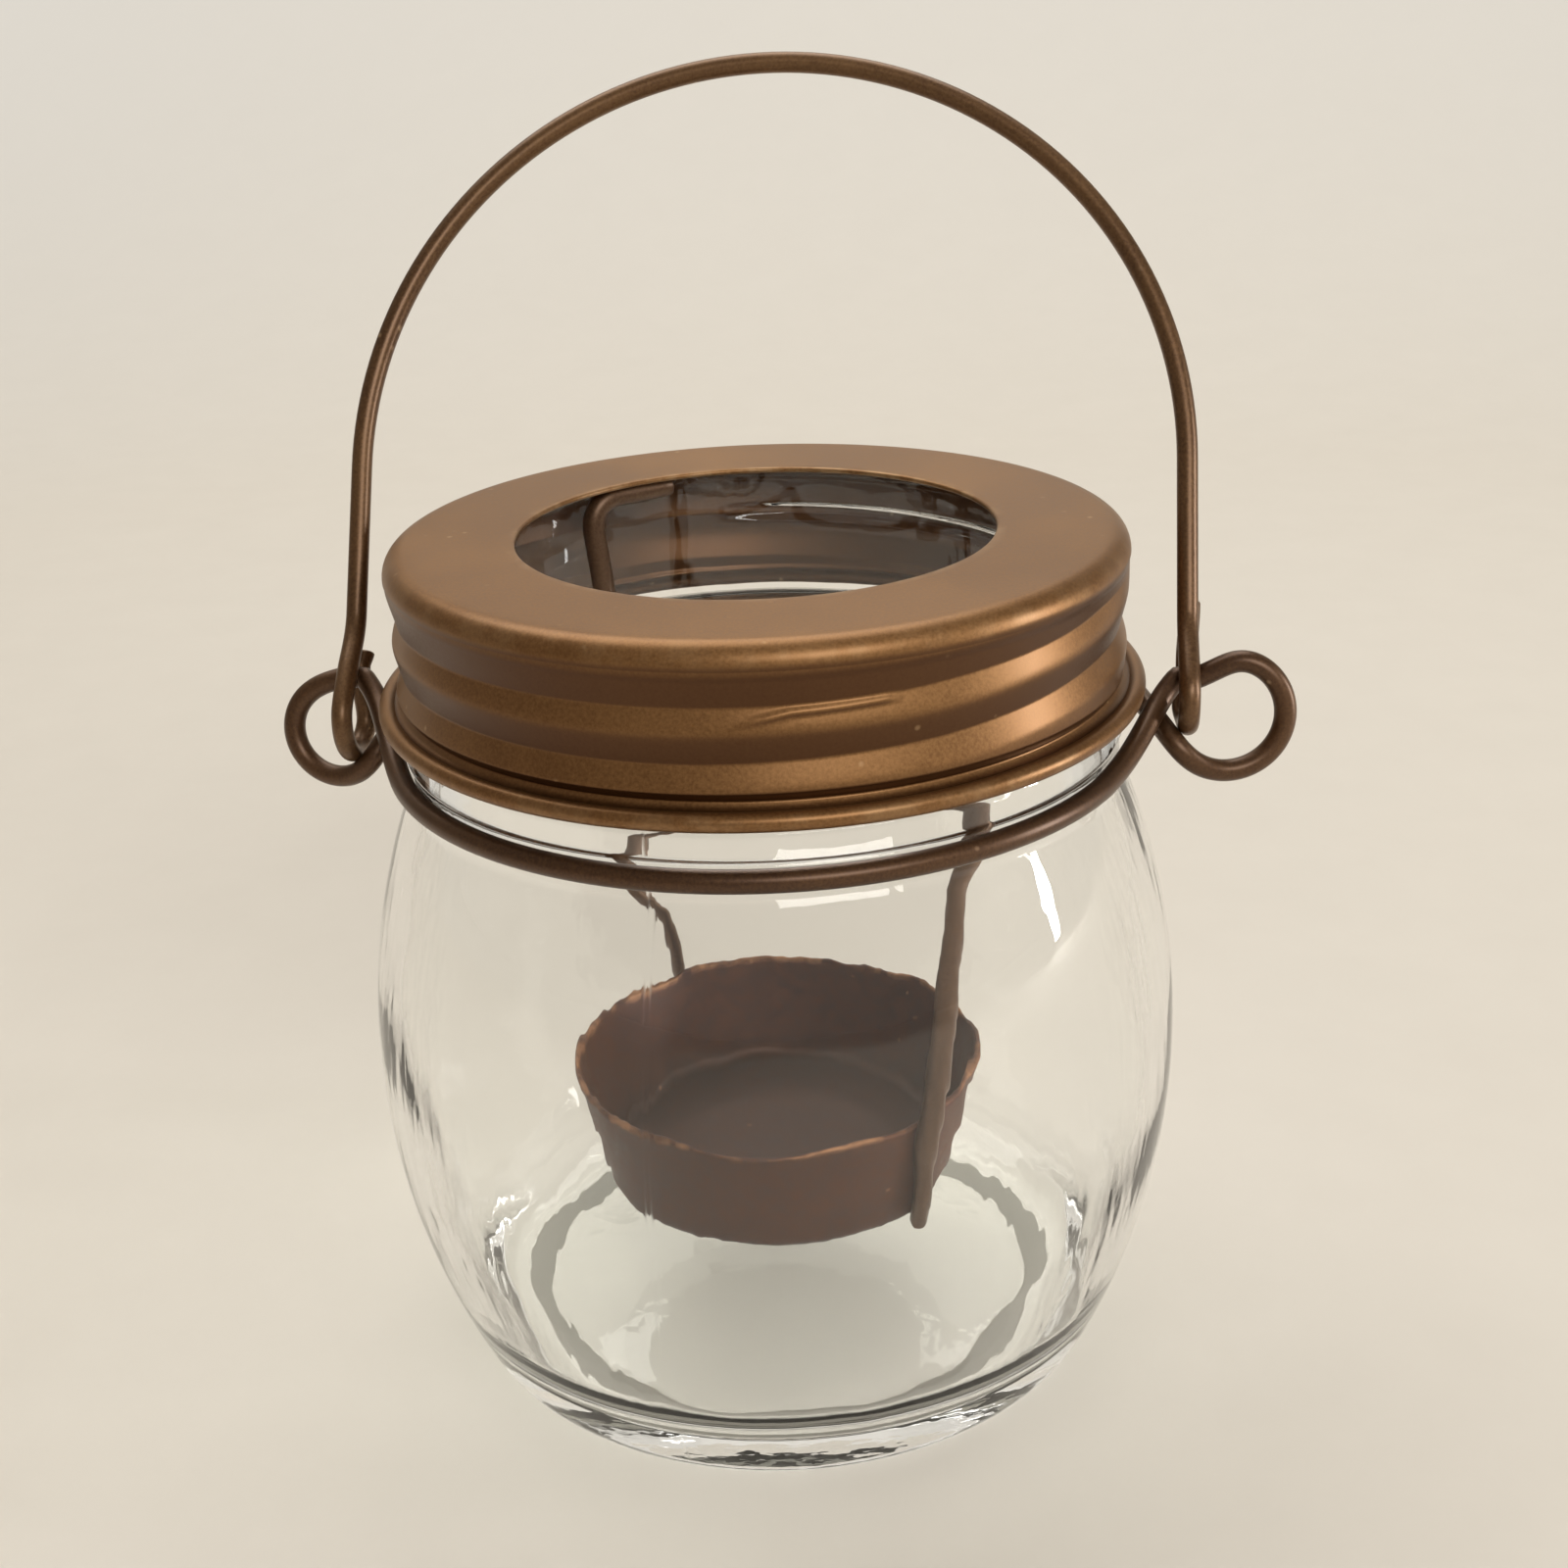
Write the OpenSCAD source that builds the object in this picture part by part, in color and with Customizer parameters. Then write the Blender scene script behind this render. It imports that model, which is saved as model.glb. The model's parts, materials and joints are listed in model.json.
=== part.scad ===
// Jam-jar lantern: a pressed-glass jar with a wire carrying bail, and an open
// screw lid that hangs a candle cup inside the glass.
// Millimetres. +Z is up, X runs through the two ears, and the origin is the
// centre of the ring that the jar stands on.

/* [Jar] */
// Height of the glass, foot to rim
jar_h = 91.9; // [83:0.1:101]
// Largest radius of the bellied body
belly_r = 43.8; // [39.4:0.1:48.2]
// Height of the widest place, as a share of the body under the neck
belly_share = 0.532; // [0.45:0.001:0.6]
// Wall thickness of the body
wall = 2.6; // [1.8:0.1:4]
// Thickness of the bottom over the foot
base_t = 6; // [4:0.5:9]
// Rounding between foot and side
heel_r = 6; // [3:0.5:8]
// Rounding between floor and wall, inside
floor_round = 9; // [5:0.5:12]
// Depth of the hollow under the foot
punt_depth = 1.8; // [0.5:0.1:3]
// Width of the ring that the jar stands on, from the heel rounding inwards
stand_w = 4.5; // [3:0.5:7]
// Fillet between shoulder and neck
shoulder_r = 5; // [3:0.5:8]
// Height of the neck between shoulder fillet and screw finish
neck_h = 6.82; // [6.5:0.01:9]
// How far the neck stands out from the screw finish
neck_out = 1.75; // [1.5:0.05:2]
// How far the glass bead stands out from the neck
bead_out = 0.4; // [0.3:0.05:0.8]
// Height of the screw finish above the neck
finish_h = 16.5; // [14.9:0.1:18.1]
// Radius of the screw finish, without its thread
finish_r = 35.6; // [32.1:0.1:39.1]
// Thickness of the glass at the screw finish
finish_t = 3.6; // [2.6:0.1:4.4]

/* [Lid] */
// Thickness of the sheet steel
sheet_t = 0.6; // [0.4:0.05:0.9]
// Gap between the screw finish and the lid's grooves
thread_gap = 0.95; // [0.8:0.05:1.2]
// Width of the lid's flat ring, from the round opening to the drum's side
ring_w = 13.5; // [12:0.1:16]
// Rounding of the top corner
corner_r = 2.2; // [1:0.1:3]
// Height of the plain drum above the first groove
drum_h = 4; // [3.6:0.1:4.6]
// Number of rolled ribs
rib_count = 2; // [1:1:2]
// Depth of the groove over each rib
groove_d = 0.85; // [0.3:0.05:1]
// Radius of the curled bottom edge, seen in section
curl_r = 0.95; // [0.7:0.05:1.3]

/* [Collar] */
// Diameter of the collar wire
collar_d = 2.3; // [1.8:0.1:2.5]
// Height of the front of the collar above the shoulder fillet
collar_rise = 1.8; // [1.4:0.1:2.6]
// How much higher the collar runs round the back
collar_step = 2.8; // [2.6:0.1:3]
// Height of the bail's pivot above the front of the collar
pivot_rise = 5.8; // [5.5:0.1:6.4]
// Bending radius of the right ear
ear_right_r = 5.9; // [5.8:0.1:6.5]
// Distance of the right ear's curl beyond the bail's pivot
ear_right_out = 4.3; // [4:0.1:4.4]
// Height of the right ear's curl above the front of the collar
ear_right_rise = 2.3; // [1.8:0.1:2.6]
// Bending radius of the left ear
ear_left_r = 5.1; // [4.8:0.1:6]
// Distance of the left ear's curl beyond the bail's pivot
ear_left_out = 2.2; // [2.1:0.1:3]
// Height of the left ear's curl above the front of the collar
ear_left_rise = 0.3; // [-0.5:0.1:0.8]

/* [Bail] */
// Diameter of the bail wire
bail_d = 2.2; // [1.8:0.1:2.5]
// Gap between the lid's curled edge and the bail's legs
bail_gap = 3.2; // [2.8:0.1:4]
// Straight legs of the bail, pivot to arch
bail_leg = 23.1; // [15:0.1:40]
// Height of the eyes above the pivot, to where the legs run straight
eye_h = 7; // [6:0.5:9]
// Lean of the bail, backwards from upright
bail_lean = 28; // [-30:1:40]
// Width of the right eye, wire centre to wire centre
eye_right_w = 6.2; // [5.6:0.1:8]
// Depth of the right eye below the pivot
eye_right_drop = 4.9; // [4.4:0.1:5]
// Height of the right eye's cut end above the pivot
eye_right_end = 8.4; // [6:0.1:12]
// Width of the left eye, wire centre to wire centre
eye_left_w = 7.6; // [6.4:0.1:8.2]
// Depth of the left eye below the pivot
eye_left_drop = 8; // [6:0.1:8.2]
// Height of the left eye's cut end above the pivot
eye_left_end = 3.2; // [3:0.1:10]

/* [Candle cup and hangers] */
// Radius of the cup's rim
cup_r = 22.9; // [20:0.1:24]
// Radius of the cup's floor
cup_floor_r = 19.8; // [18:0.1:21]
// Height of the cup
cup_h = 13.4; // [10:0.1:18]
// Sheet thickness of the cup
cup_t = 0.7; // [0.4:0.05:1.2]
// Rounding of the cup's bottom edge
cup_round = 2; // [1:0.1:3]
// Depth of the cup's rim below the top of the lid
cup_depth = 60.4; // [40:0.1:66]
// Diameter of the hanger wire
hanger_d = 2.5; // [2:0.1:3]
// Distance of the hangers' feet in from the jar's mouth
hanger_in = 4.8; // [4.2:0.1:5.2]
// Length of each foot
hanger_foot = 10.5; // [8:0.5:14]
// Bending radius of the hangers
hanger_bend = 3.6; // [2.5:0.1:5]
// Length of leg that the knee at the cup's rim takes up
hanger_knee = 5; // [3:0.5:7]
// Direction of the front hanger's top, seen from above
hanger_turn = -30; // [-60:1:60]
// Angle from the front hanger round to the back one
hanger_apart = 170; // [150:1:210]
// Twist of each hanger from the lid to the cup
hanger_twist = -11; // [-15:1:15]
// Depth of the spot welds
weld = 0.12; // [0.05:0.01:0.2]

/* [Hidden] */
$fn = 96;
WIRE_SIDES = 12;
// clearances
lid_gap = 0.05;
grip_gap = 0.02;
pass_gap = 0.12;
seat_gap = 0.06;
edge_lap = 0.04;
drum_step = 0.1;
bead_lap = 0.1;
bearing_over = 0.04;
bearing_short = 0.1;
level_spare = 0.5;
// small forms of the glass
step_h = 0.9;
rim_round = 1.2;
mouth_edge = 0.8;
throat_h = 4;
floor_crown = 1;
bead_edge = 0.3;
// reaches of the ears' bends
ear_lead = 9;
ear_tail = 3.4;
ear_close = 5;
ear_drift = 4.2;
ear_ease = 1.3;
eye_lead = 2.6;
// jar
finish_z = jar_h - finish_h;
neck_foot_z = finish_z - neck_h;
neck_r = finish_r + neck_out;
bead_r = neck_r + bead_out;
mouth_r = finish_r - finish_t;
belly_z = belly_share * neck_foot_z;
belly_over = belly_r - neck_r;
belly_curve = (pow(neck_foot_z - belly_z, 2) + pow(belly_over - shoulder_r, 2)
               - pow(shoulder_r, 2)) / (2 * belly_over);
curve_cx = belly_r - belly_curve;
// lid
lid_top = jar_h + lid_gap + sheet_t;
skirt_h = finish_h + sheet_t + lid_gap + edge_lap - curl_r;
rib_pitch = (skirt_h - drum_h) / (rib_count + 0.4);
skirt_r = finish_r + thread_gap + sheet_t + groove_d;
drum_r = skirt_r + drum_step;
opening_r = drum_r - ring_w;
// collar and bail
ring_chord = cos(3.3);
collar_r = (neck_r + collar_d / 2 + grip_gap) / ring_chord;
collar_z = neck_foot_z + collar_rise;
bead_z = collar_z + collar_d / 2 - bead_lap;
back_r = (bead_r + collar_d / 2 + grip_gap) / ring_chord;
pivot_z = collar_z + pivot_rise;
bail_half = skirt_r + 2 * curl_r + bail_gap + bail_d / 2;
eye_seat = (collar_d + bail_d) / 2 + seat_gap;
level_h = bail_d + level_spare;
// cup and hangers
cup_z = lid_top - cup_depth - cup_h;
hanger_r = mouth_r - hanger_in;

// ---------- small helpers ----------

function unit(v) = v / norm(v);
function lerp(a, b, t) = a + (b - a) * t;

// Points of an arc in a plane, centre c, from angle a0 to a1 in n steps.
function arc(c, r, a0, a1, n) =
    [for (i = [0:n]) let (a = lerp(a0, a1, i / n)) c + r * [cos(a), sin(a)]];

// Point of a cubic curve from p to q that leaves along u and arrives along v.
function cubic(p, u, q, v, t) =
    pow(1 - t, 3) * p + 3 * t * pow(1 - t, 2) * (p + u)
    + 3 * t * t * (1 - t) * (q - v) + pow(t, 3) * q;

function cubic_run(p, u, q, v, n) = [for (i = [1:n - 1]) cubic(p, u, q, v, i / n)];

// Direction of a path at point i.
function heading(path, i, closed) =
    let (n = len(path))
    closed ? unit(path[(i + 1) % n] - path[(i + n - 1) % n])
           : unit(path[min(i + 1, n - 1)] - path[max(i - 1, 0)]);

// A side vector for each point of a path, carried along without twisting.
function carried_sides(path, closed, first) =
    [for (i = 0, s = first; i < len(path);
          s = let (h = heading(path, min(i + 1, len(path) - 1), closed))
              unit(s - (s * h) * h), i = i + 1) s];

// Round wire along a path of points. An open wire has flat cut ends.
module wire(path, d, closed = false, first = [0, 0, 1]) {
    n = len(path);
    h0 = heading(path, 0, closed);
    sides = carried_sides(path, closed, unit(first - (first * h0) * h0));
    points = [for (i = [0:n - 1]) let (s = sides[i], u = cross(heading(path, i, closed), s))
              for (k = [0:WIRE_SIDES - 1]) let (a = 360 * k / WIRE_SIDES)
              path[i] + d / 2 * (cos(a) * s + sin(a) * u)];
    skin = [for (i = [0:(closed ? n - 1 : n - 2)]) let (j = (i + 1) % n)
            for (k = [0:WIRE_SIDES - 1]) let (m = (k + 1) % WIRE_SIDES)
            each [[i * WIRE_SIDES + k, i * WIRE_SIDES + m, j * WIRE_SIDES + m],
                  [i * WIRE_SIDES + k, j * WIRE_SIDES + m, j * WIRE_SIDES + k]]];
    caps = closed ? [] : [[for (k = [WIRE_SIDES - 1:-1:0]) k],
                          [for (k = [0:WIRE_SIDES - 1]) (n - 1) * WIRE_SIDES + k]];
    polyhedron(points, [for (f = concat(skin, caps)) [for (k = [len(f) - 1:-1:0]) f[k]]],
               convexity = 10);
}

// ---------- glass jar ----------

// Side curve of the body, moved inwards by t.
function side(t, z0, z1, n) =
    let (r = belly_curve - t, a0 = asin((z0 - belly_z) / r), a1 = asin((z1 - belly_z) / r))
    arc([curve_cx, belly_z], r, a0, a1, n);

function heel_centre(r, t, z) =
    [curve_cx + sqrt(pow(belly_curve - t - r, 2) - pow(z + r - belly_z, 2)), z + r];

function outer_outline() =
    let (hc = heel_centre(heel_r, 0, 0),
         heel_a = atan2(hc[1] - belly_z, hc[0] - curve_cx),
         sc = [neck_r + shoulder_r, neck_foot_z],
         join = [curve_cx, belly_z] + belly_curve * unit(sc - [curve_cx, belly_z]),
         side_z0 = belly_z + belly_curve * sin(heel_a))
    concat(arc(hc, heel_r, -90, heel_a, 6),
           [for (p = side(0, side_z0, join[1], 18)) if (p[1] > side_z0 + 0.01) p],
           [for (p = arc(sc, shoulder_r, atan2(join[1] - sc[1], join[0] - sc[0]), -180, 3))
            if (p[1] > join[1] + 0.01) p],
           [[neck_r, bead_z], [bead_r - bead_edge * 0.4, bead_z + bead_edge],
            [bead_r, bead_z + 2 * bead_edge],
            [bead_r, finish_z - step_h]],
           cubic_run([bead_r, finish_z - step_h], [0, step_h * 0.65],
                     [finish_r, finish_z], [0, step_h * 0.55], 5),
           [[finish_r, finish_z]],
           arc([finish_r - rim_round, jar_h - rim_round], rim_round, 0, 90, 3));

function inner_outline() =
    let (ic = heel_centre(floor_round, wall, base_t),
         ia = atan2(ic[1] - belly_z, ic[0] - curve_cx), r = belly_curve - wall,
         side_z0 = belly_z + r * sin(ia), side_z1 = neck_foot_z - throat_h,
         top = side(wall, side_z0, side_z1, 16), last = top[16],
         out = unit([last[1] - belly_z, curve_cx - last[0]]),
         throat = [mouth_r, finish_z + throat_h / 2])
    concat([[mouth_r + mouth_edge, jar_h], [mouth_r, jar_h - mouth_edge], throat],
           cubic_run(throat, [0, -throat_h], last, out * throat_h, 6),
           [for (i = [16:-1:0]) top[i]],
           [for (p = arc(ic, floor_round, ia, -90, 6)) if (p[1] < side_z0 - 0.01) p]);

// Hollow under the foot: a shallow dome inside the standing ring.
function punt_outline() =
    let (r = heel_centre(heel_r, 0, 0)[0] - stand_w,
         dome = (r * r + punt_depth * punt_depth) / (2 * punt_depth))
    arc([0, punt_depth - dome], dome, 90, 90 - asin(r / dome), 5);

module glass_jar() {
    color([0.78, 0.89, 0.86, 0.45])
    rotate_extrude()
        polygon(concat(punt_outline(), outer_outline(), inner_outline(), [[0, base_t + floor_crown]]));
}

// ---------- lid ----------

// Outer radius of the ribbed skirt at a depth below the top of the lid.
function skirt_radius(depth) =
    depth < drum_h ? skirt_r
    : skirt_r - groove_d * (1 - cos(360 * (depth - drum_h) / rib_pitch)) / 2;

function skirt_depths() = [for (i = [0:1:8 * rib_count + 2]) drum_h + i * rib_pitch / 8];

module lid() {
    rib_end = skirt_depths()[len(skirt_depths()) - 1];
    wall_end = drum_h - 2 * sheet_t / 3;
    hem_r = skirt_radius(rib_end);
    outer = concat([[opening_r, 0]],
                   arc([drum_r - corner_r, -corner_r], corner_r, 90, 0, 6),
                   [[skirt_r, -wall_end]],
                   [for (d = skirt_depths()) [skirt_radius(d), -d]]);
    inner = concat([for (i = [len(skirt_depths()) - 1:-1:0]) let (d = skirt_depths()[i])
                    [skirt_radius(d) - sheet_t, -d]],
                   [[skirt_r - sheet_t, -wall_end]],
                   arc([drum_r - corner_r, -corner_r], corner_r - sheet_t, 0, 90, 6),
                   [[opening_r, -sheet_t]]);
    color([0.60, 0.46, 0.39])
    translate([0, 0, lid_top])
    union() {
        rotate_extrude() polygon(concat(outer, inner));
        // turned-out hem and curled edge
        rotate_extrude() {
            polygon([[hem_r - sheet_t, -rib_end + sheet_t / 3],
                     [hem_r, -rib_end + sheet_t / 3],
                     [skirt_r + curl_r, -skirt_h + sheet_t / 2],
                     [skirt_r + curl_r, -skirt_h - sheet_t / 2],
                     [hem_r - sheet_t, -rib_end - sheet_t]]);
            translate([skirt_r + curl_r, -skirt_h]) circle(curl_r);
        }
    }
}

// ---------- collar ----------

// One ear, drawn on the right-hand side: the low front strand rises through the
// bail's eye, curls down and comes back in front of itself to the high strand.
function ear_path(r, out, rise) =
    let (leave = -24, meet = 14, curl_start = 80, curl_end = -146, steps = 14,
         p0 = collar_r * [cos(leave), sin(leave), 0] + [0, 0, collar_z],
         t0 = [-sin(leave), cos(leave), 0],
         eye = [bail_half, 0, pivot_z], half = [level_h / 2, 0, 0],
         centre = [bail_half + out, 0, collar_z + rise],
         curl = [for (i = [0:steps]) let (a = lerp(curl_start, curl_end, i / steps))
                 centre + [r * cos(a), -ear_drift * pow(i / steps, 1.5), r * sin(a)]],
         t1 = [sin(curl_start), 0, -cos(curl_start)],
         t2 = unit([sin(curl_end), -0.1, -cos(curl_end)]),
         p3 = back_r * [cos(meet), sin(meet), 0] + [0, 0, collar_z + collar_step],
         t3 = [-sin(meet), cos(meet), 0])
    concat([p0], cubic_run(p0, ear_lead * t0, eye - half, eye_lead * [0.65, 0.19, 0.73], 9),
           [eye - half, eye + half],
           cubic_run(eye + half, [ear_ease, 0, 0], curl[0], ear_ease * t1, 4), curl,
           cubic_run(curl[steps], ear_tail * t2, p3, ear_close * t3, 8), [p3]);

function mirrored(path) =
    [for (i = [len(path) - 1:-1:0]) [-path[i][0], path[i][1], path[i][2]]];

function collar_path() =
    let (a0 = 24, a1 = 14,
         front = [for (i = [1:19]) let (a = lerp(-180 + a0, -a0, i / 20))
                  [collar_r * cos(a), collar_r * sin(a), collar_z]],
         back = [for (i = [1:23]) let (a = lerp(a1, 180 - a1, i / 24))
                 [back_r * cos(a), back_r * sin(a), collar_z + collar_step]])
    concat(front, ear_path(ear_right_r, ear_right_out, ear_right_rise), back,
           mirrored(ear_path(ear_left_r, ear_left_out, ear_left_rise)));

module collar() {
    color([0.30, 0.26, 0.24]) {
        wire(collar_path(), collar_d, closed = true);
        // level stretches that the bail turns on
        for (side = [-1, 1])
            translate([side * bail_half, 0, pivot_z]) rotate([0, 90, 0])
                cylinder(d = collar_d + bearing_over, h = level_h - bearing_short, center = true);
    }
}

// ---------- bail ----------

// Eye at the foot of a leg, seen along X: the leg bows forward, turns round the
// bottom and comes back up behind itself to a cut end. Above the pivot the eye
// narrows to a throat, and there it bears on the collar wire.
function eye_points(w, drop, end) =
    let (r = w / 2, c = [0, -drop + r], a = 25,
         seat = eye_seat * [cos(a), sin(a)],
         down = [-sin(a), -cos(a)], up = [-sin(a), cos(a)],
         front = [-seat[0], seat[1]],
         back = [bail_d + pass_gap, end])
    concat([[0, bail_leg], [0, eye_h]],
           cubic_run([0, eye_h], [0, -eye_seat], front, 0.7 * eye_seat * down, 5), [front],
           cubic_run(front, 0.5 * eye_seat * down, [-r, c[1]], [0, -0.4 * eye_seat], 4),
           arc(c, r, 180, 360, 12),
           cubic_run([r, c[1]], [0, 0.4 * eye_seat], seat, 0.5 * eye_seat * up, 4), [seat],
           cubic_run(seat, 0.35 * eye_seat * up, back, [0, 0.3 * (end - seat[1])], 4), [back]);

module bail_leg(side, w, drop, end) {
    wire([for (p = eye_points(w, drop, end)) [side * bail_half, p[0], p[1]]], bail_d, first = [1, 0, 0]);
}

module bail() {
    color([0.34, 0.29, 0.27])
    translate([0, 0, pivot_z]) rotate([-bail_lean, 0, 0]) {
        translate([0, 0, bail_leg]) rotate([90, 0, 0])
            rotate_extrude(angle = 180) translate([bail_half, 0]) circle(d = bail_d);
        bail_leg(1, eye_right_w, eye_right_drop, eye_right_end);
        bail_leg(-1, eye_left_w, eye_left_drop, eye_left_end);
    }
}

// ---------- hangers and cup ----------

function polar(r, a, z) = [r * cos(a), r * sin(a), z];

// Hanger wire: foot along the lid, a bend, a leg to the cup's rim, and a tail
// that lies down the side of the cup.
function hanger_path() =
    let (z_foot = lid_top - sheet_t - hanger_d / 2 + weld,
         lean = atan((cup_r - cup_floor_r) / cup_h),
         hold = (hanger_d / 2 - weld) / cos(lean),
         corner = polar(hanger_r, 0, z_foot),
         foot = corner - [0, hanger_foot, 0],
         rim = polar(cup_r + hold, hanger_twist, cup_z + cup_h),
         tail = polar(cup_floor_r + hold, hanger_twist, cup_z),
         down = unit(rim - corner), along = [0, 1, 0], b = hanger_bend,
         p0 = corner - b * along, p1 = corner + b * down,
         last = unit(tail - rim),
         k0 = rim - hanger_knee * down, k1 = rim + 0.8 * hanger_knee * last)
    concat([foot, p0], cubic_run(p0, 0.55 * b * along, p1, 0.55 * b * down, 7), [p1, k0],
           cubic_run(k0, 0.5 * hanger_knee * down, k1, 0.4 * hanger_knee * last, 5), [k1, tail]);

module hanger_front() {
    color([0.42, 0.31, 0.28]) rotate(hanger_turn) wire(hanger_path(), hanger_d);
}

module hanger_back() {
    color([0.42, 0.31, 0.28]) rotate(hanger_turn + hanger_apart) wire(hanger_path(), hanger_d);
}

module tealight_cup() {
    slope = atan((cup_r - cup_floor_r) / cup_h);
    c = cup_round;
    foot = cup_floor_r + c * tan(slope) - c / cos(slope);
    color([0.36, 0.22, 0.20])
    translate([0, 0, cup_z])
    rotate_extrude()
        polygon(concat([[0, 0]],
                       arc([foot, c], c, -90, -slope, 5),
                       [[cup_r, cup_h], [cup_r - cup_t / cos(slope), cup_h]],
                       arc([foot, c], c - cup_t, -slope, -90, 5),
                       [[0, cup_t]]));
}

glass_jar();
collar();
bail();
lid();
hanger_front();
hanger_back();
tealight_cup();
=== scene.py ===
"""Visual model of a jar lantern: glass jar, screw lid with a candle cup, wire collar and bail."""
import json
import logging
import math
from dataclasses import dataclass
from enum import Enum
from typing import Callable, Sequence

import bpy
from mathutils import Matrix, Vector


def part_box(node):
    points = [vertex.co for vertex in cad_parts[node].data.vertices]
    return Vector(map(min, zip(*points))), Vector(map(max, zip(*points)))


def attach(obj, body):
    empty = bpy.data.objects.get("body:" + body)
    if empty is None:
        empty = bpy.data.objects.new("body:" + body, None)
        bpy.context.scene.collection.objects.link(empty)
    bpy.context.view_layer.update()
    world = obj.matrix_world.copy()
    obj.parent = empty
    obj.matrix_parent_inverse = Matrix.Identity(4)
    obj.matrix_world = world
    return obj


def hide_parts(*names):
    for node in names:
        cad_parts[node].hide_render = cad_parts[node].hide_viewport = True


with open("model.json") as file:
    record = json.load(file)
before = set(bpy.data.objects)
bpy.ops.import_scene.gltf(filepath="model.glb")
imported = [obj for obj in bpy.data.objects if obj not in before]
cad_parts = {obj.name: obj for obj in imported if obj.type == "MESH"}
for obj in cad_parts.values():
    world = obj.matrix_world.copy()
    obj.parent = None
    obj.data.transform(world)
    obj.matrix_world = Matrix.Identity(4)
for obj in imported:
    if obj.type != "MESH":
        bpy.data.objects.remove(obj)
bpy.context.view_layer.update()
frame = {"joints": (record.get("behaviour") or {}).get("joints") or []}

LOG = logging.getLogger("lantern")
MM = 0.001
IMAGE_SIZE = 1600
SENSOR_MM = 36.0

Color = tuple[float, float, float]
Point = tuple[float, float]
Profile = list[Point]
Path = list[Vector]
Place = tuple[float, float, float]
Shape = Callable[[int, float], Point]
Station = tuple[Vector, Vector, Vector, float]

PIVOT_Z = frame["joints"][0]["pos_m"][2] / MM
STUDIO_AIR: Color = (0.77, 0.735, 0.67)
SKIRT_T = 0.6
COLLAR_D = 2.3


class Body(Enum):
    """The rigid bodies that pieces ride on."""

    JAR = "jar"
    BAIL = "bail"
    LID = "lid_assembly"


class Slot(Enum):
    """The record's material slots."""

    GLASS = "glass"
    COLLAR = "collar_wire"
    BAIL = "bail_wire"
    LID = "lid_metal"
    HANGER = "hanger_wire"
    CUP = "cup_metal"


# ---------- curves and meshes ----------


def box_top(node: str) -> float:
    """Height of a node's highest point, in millimetres."""
    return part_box(node)[1][2] / MM


def box_foot(node: str) -> float:
    """Height of a node's lowest point, in millimetres."""
    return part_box(node)[0][2] / MM


def smoothstep(low: float, high: float, value: float) -> float:
    """Soft step from 0 at low to 1 at high."""
    t = min(max((value - low) / (high - low), 0.0), 1.0)
    return t * t * (3.0 - 2.0 * t)


def bump_shape(offset: float, half_width: float) -> float:
    """Rounded hump of height 1 at offset 0 that ends at half_width."""
    t = min(abs(offset) / half_width, 1.0)
    return 0.5 + 0.5 * math.cos(math.pi * t)


def arc(centre: Point, radius: float, start: float, end: float, steps: int) -> Profile:
    """Points of a flat arc.

    Args:
        centre: Centre of the arc.
        radius: Radius in millimetres.
        start: First angle in degrees.
        end: Last angle in degrees.
        steps: Number of stretches.

    Returns:
        The points from start to end.
    """
    angles = [math.radians(start + (end - start) * i / steps) for i in range(steps + 1)]
    return [(centre[0] + radius * math.cos(a), centre[1] + radius * math.sin(a)) for a in angles]


def stretch(start: Point, end: Point, steps: int) -> Profile:
    """Draws a straight line in even steps.

    Args:
        start: First point, which is left out.
        end: Last point, which is left out.
        steps: Number of stretches.

    Returns:
        The points between start and end.
    """
    reach, climb = end[0] - start[0], end[1] - start[1]
    shares = [i / steps for i in range(1, steps)]
    return [(start[0] + reach * t, start[1] + climb * t) for t in shares]


def track(stops: Sequence[Point], place: float) -> float | None:
    """Reads a line that runs through stops.

    Args:
        stops: Place and value of each stop.
        place: The place to read.

    Returns:
        The value there, or nothing beyond the ends.
    """
    for (low, first), (high, last) in zip(stops, stops[1:]):
        if low <= place <= high:
            return first + (last - first) * ((place - low) / (high - low))
    return None


def direction(centre: Point, point: Point) -> float:
    """Angle in degrees at which a point is seen from a centre."""
    return math.degrees(math.atan2(point[1] - centre[1], point[0] - centre[0]))


def polar(radius: float, angle: float, height: float) -> Vector:
    """A point by radius, angle in degrees and height."""
    a = math.radians(angle)
    return Vector((radius * math.cos(a), radius * math.sin(a), height))


def tangent(angle: float) -> Vector:
    """Level direction across the radius at an angle in degrees."""
    return Vector((-math.sin(math.radians(angle)), math.cos(math.radians(angle)), 0.0))


def cubic(start: Vector, leave: Vector, end: Vector, arrive: Vector, steps: int) -> Path:
    """Inner points of a cubic curve.

    Args:
        start: First point, which is left out.
        leave: Handle at the start, along the way.
        end: Last point, which is left out.
        arrive: Handle at the end, along the way.
        steps: Number of stretches.

    Returns:
        The points between start and end.
    """
    one, two, points = start + leave, end - arrive, []
    for i in range(1, steps):
        t = i / steps
        u = 1.0 - t
        points.append(start * u**3 + one * (3 * t * u * u) + two * (3 * t * t * u) + end * t**3)
    return points


def new_object(name: str, verts: Sequence[Sequence[float]],
               faces: Sequence[Sequence[int]]) -> bpy.types.Object:
    """Makes a smooth-shaded object.

    Args:
        name: Name of the piece.
        verts: Its points, in millimetres.
        faces: Numbers of the points of each face.

    Returns:
        The object, linked to the scene.
    """
    mesh = bpy.data.meshes.new(name)
    mesh.from_pydata([tuple(c * MM for c in v) for v in verts], [], faces)
    mesh.update()
    mesh.shade_smooth()
    obj = bpy.data.objects.new(name, mesh)
    bpy.context.scene.collection.objects.link(obj)
    return obj


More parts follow.
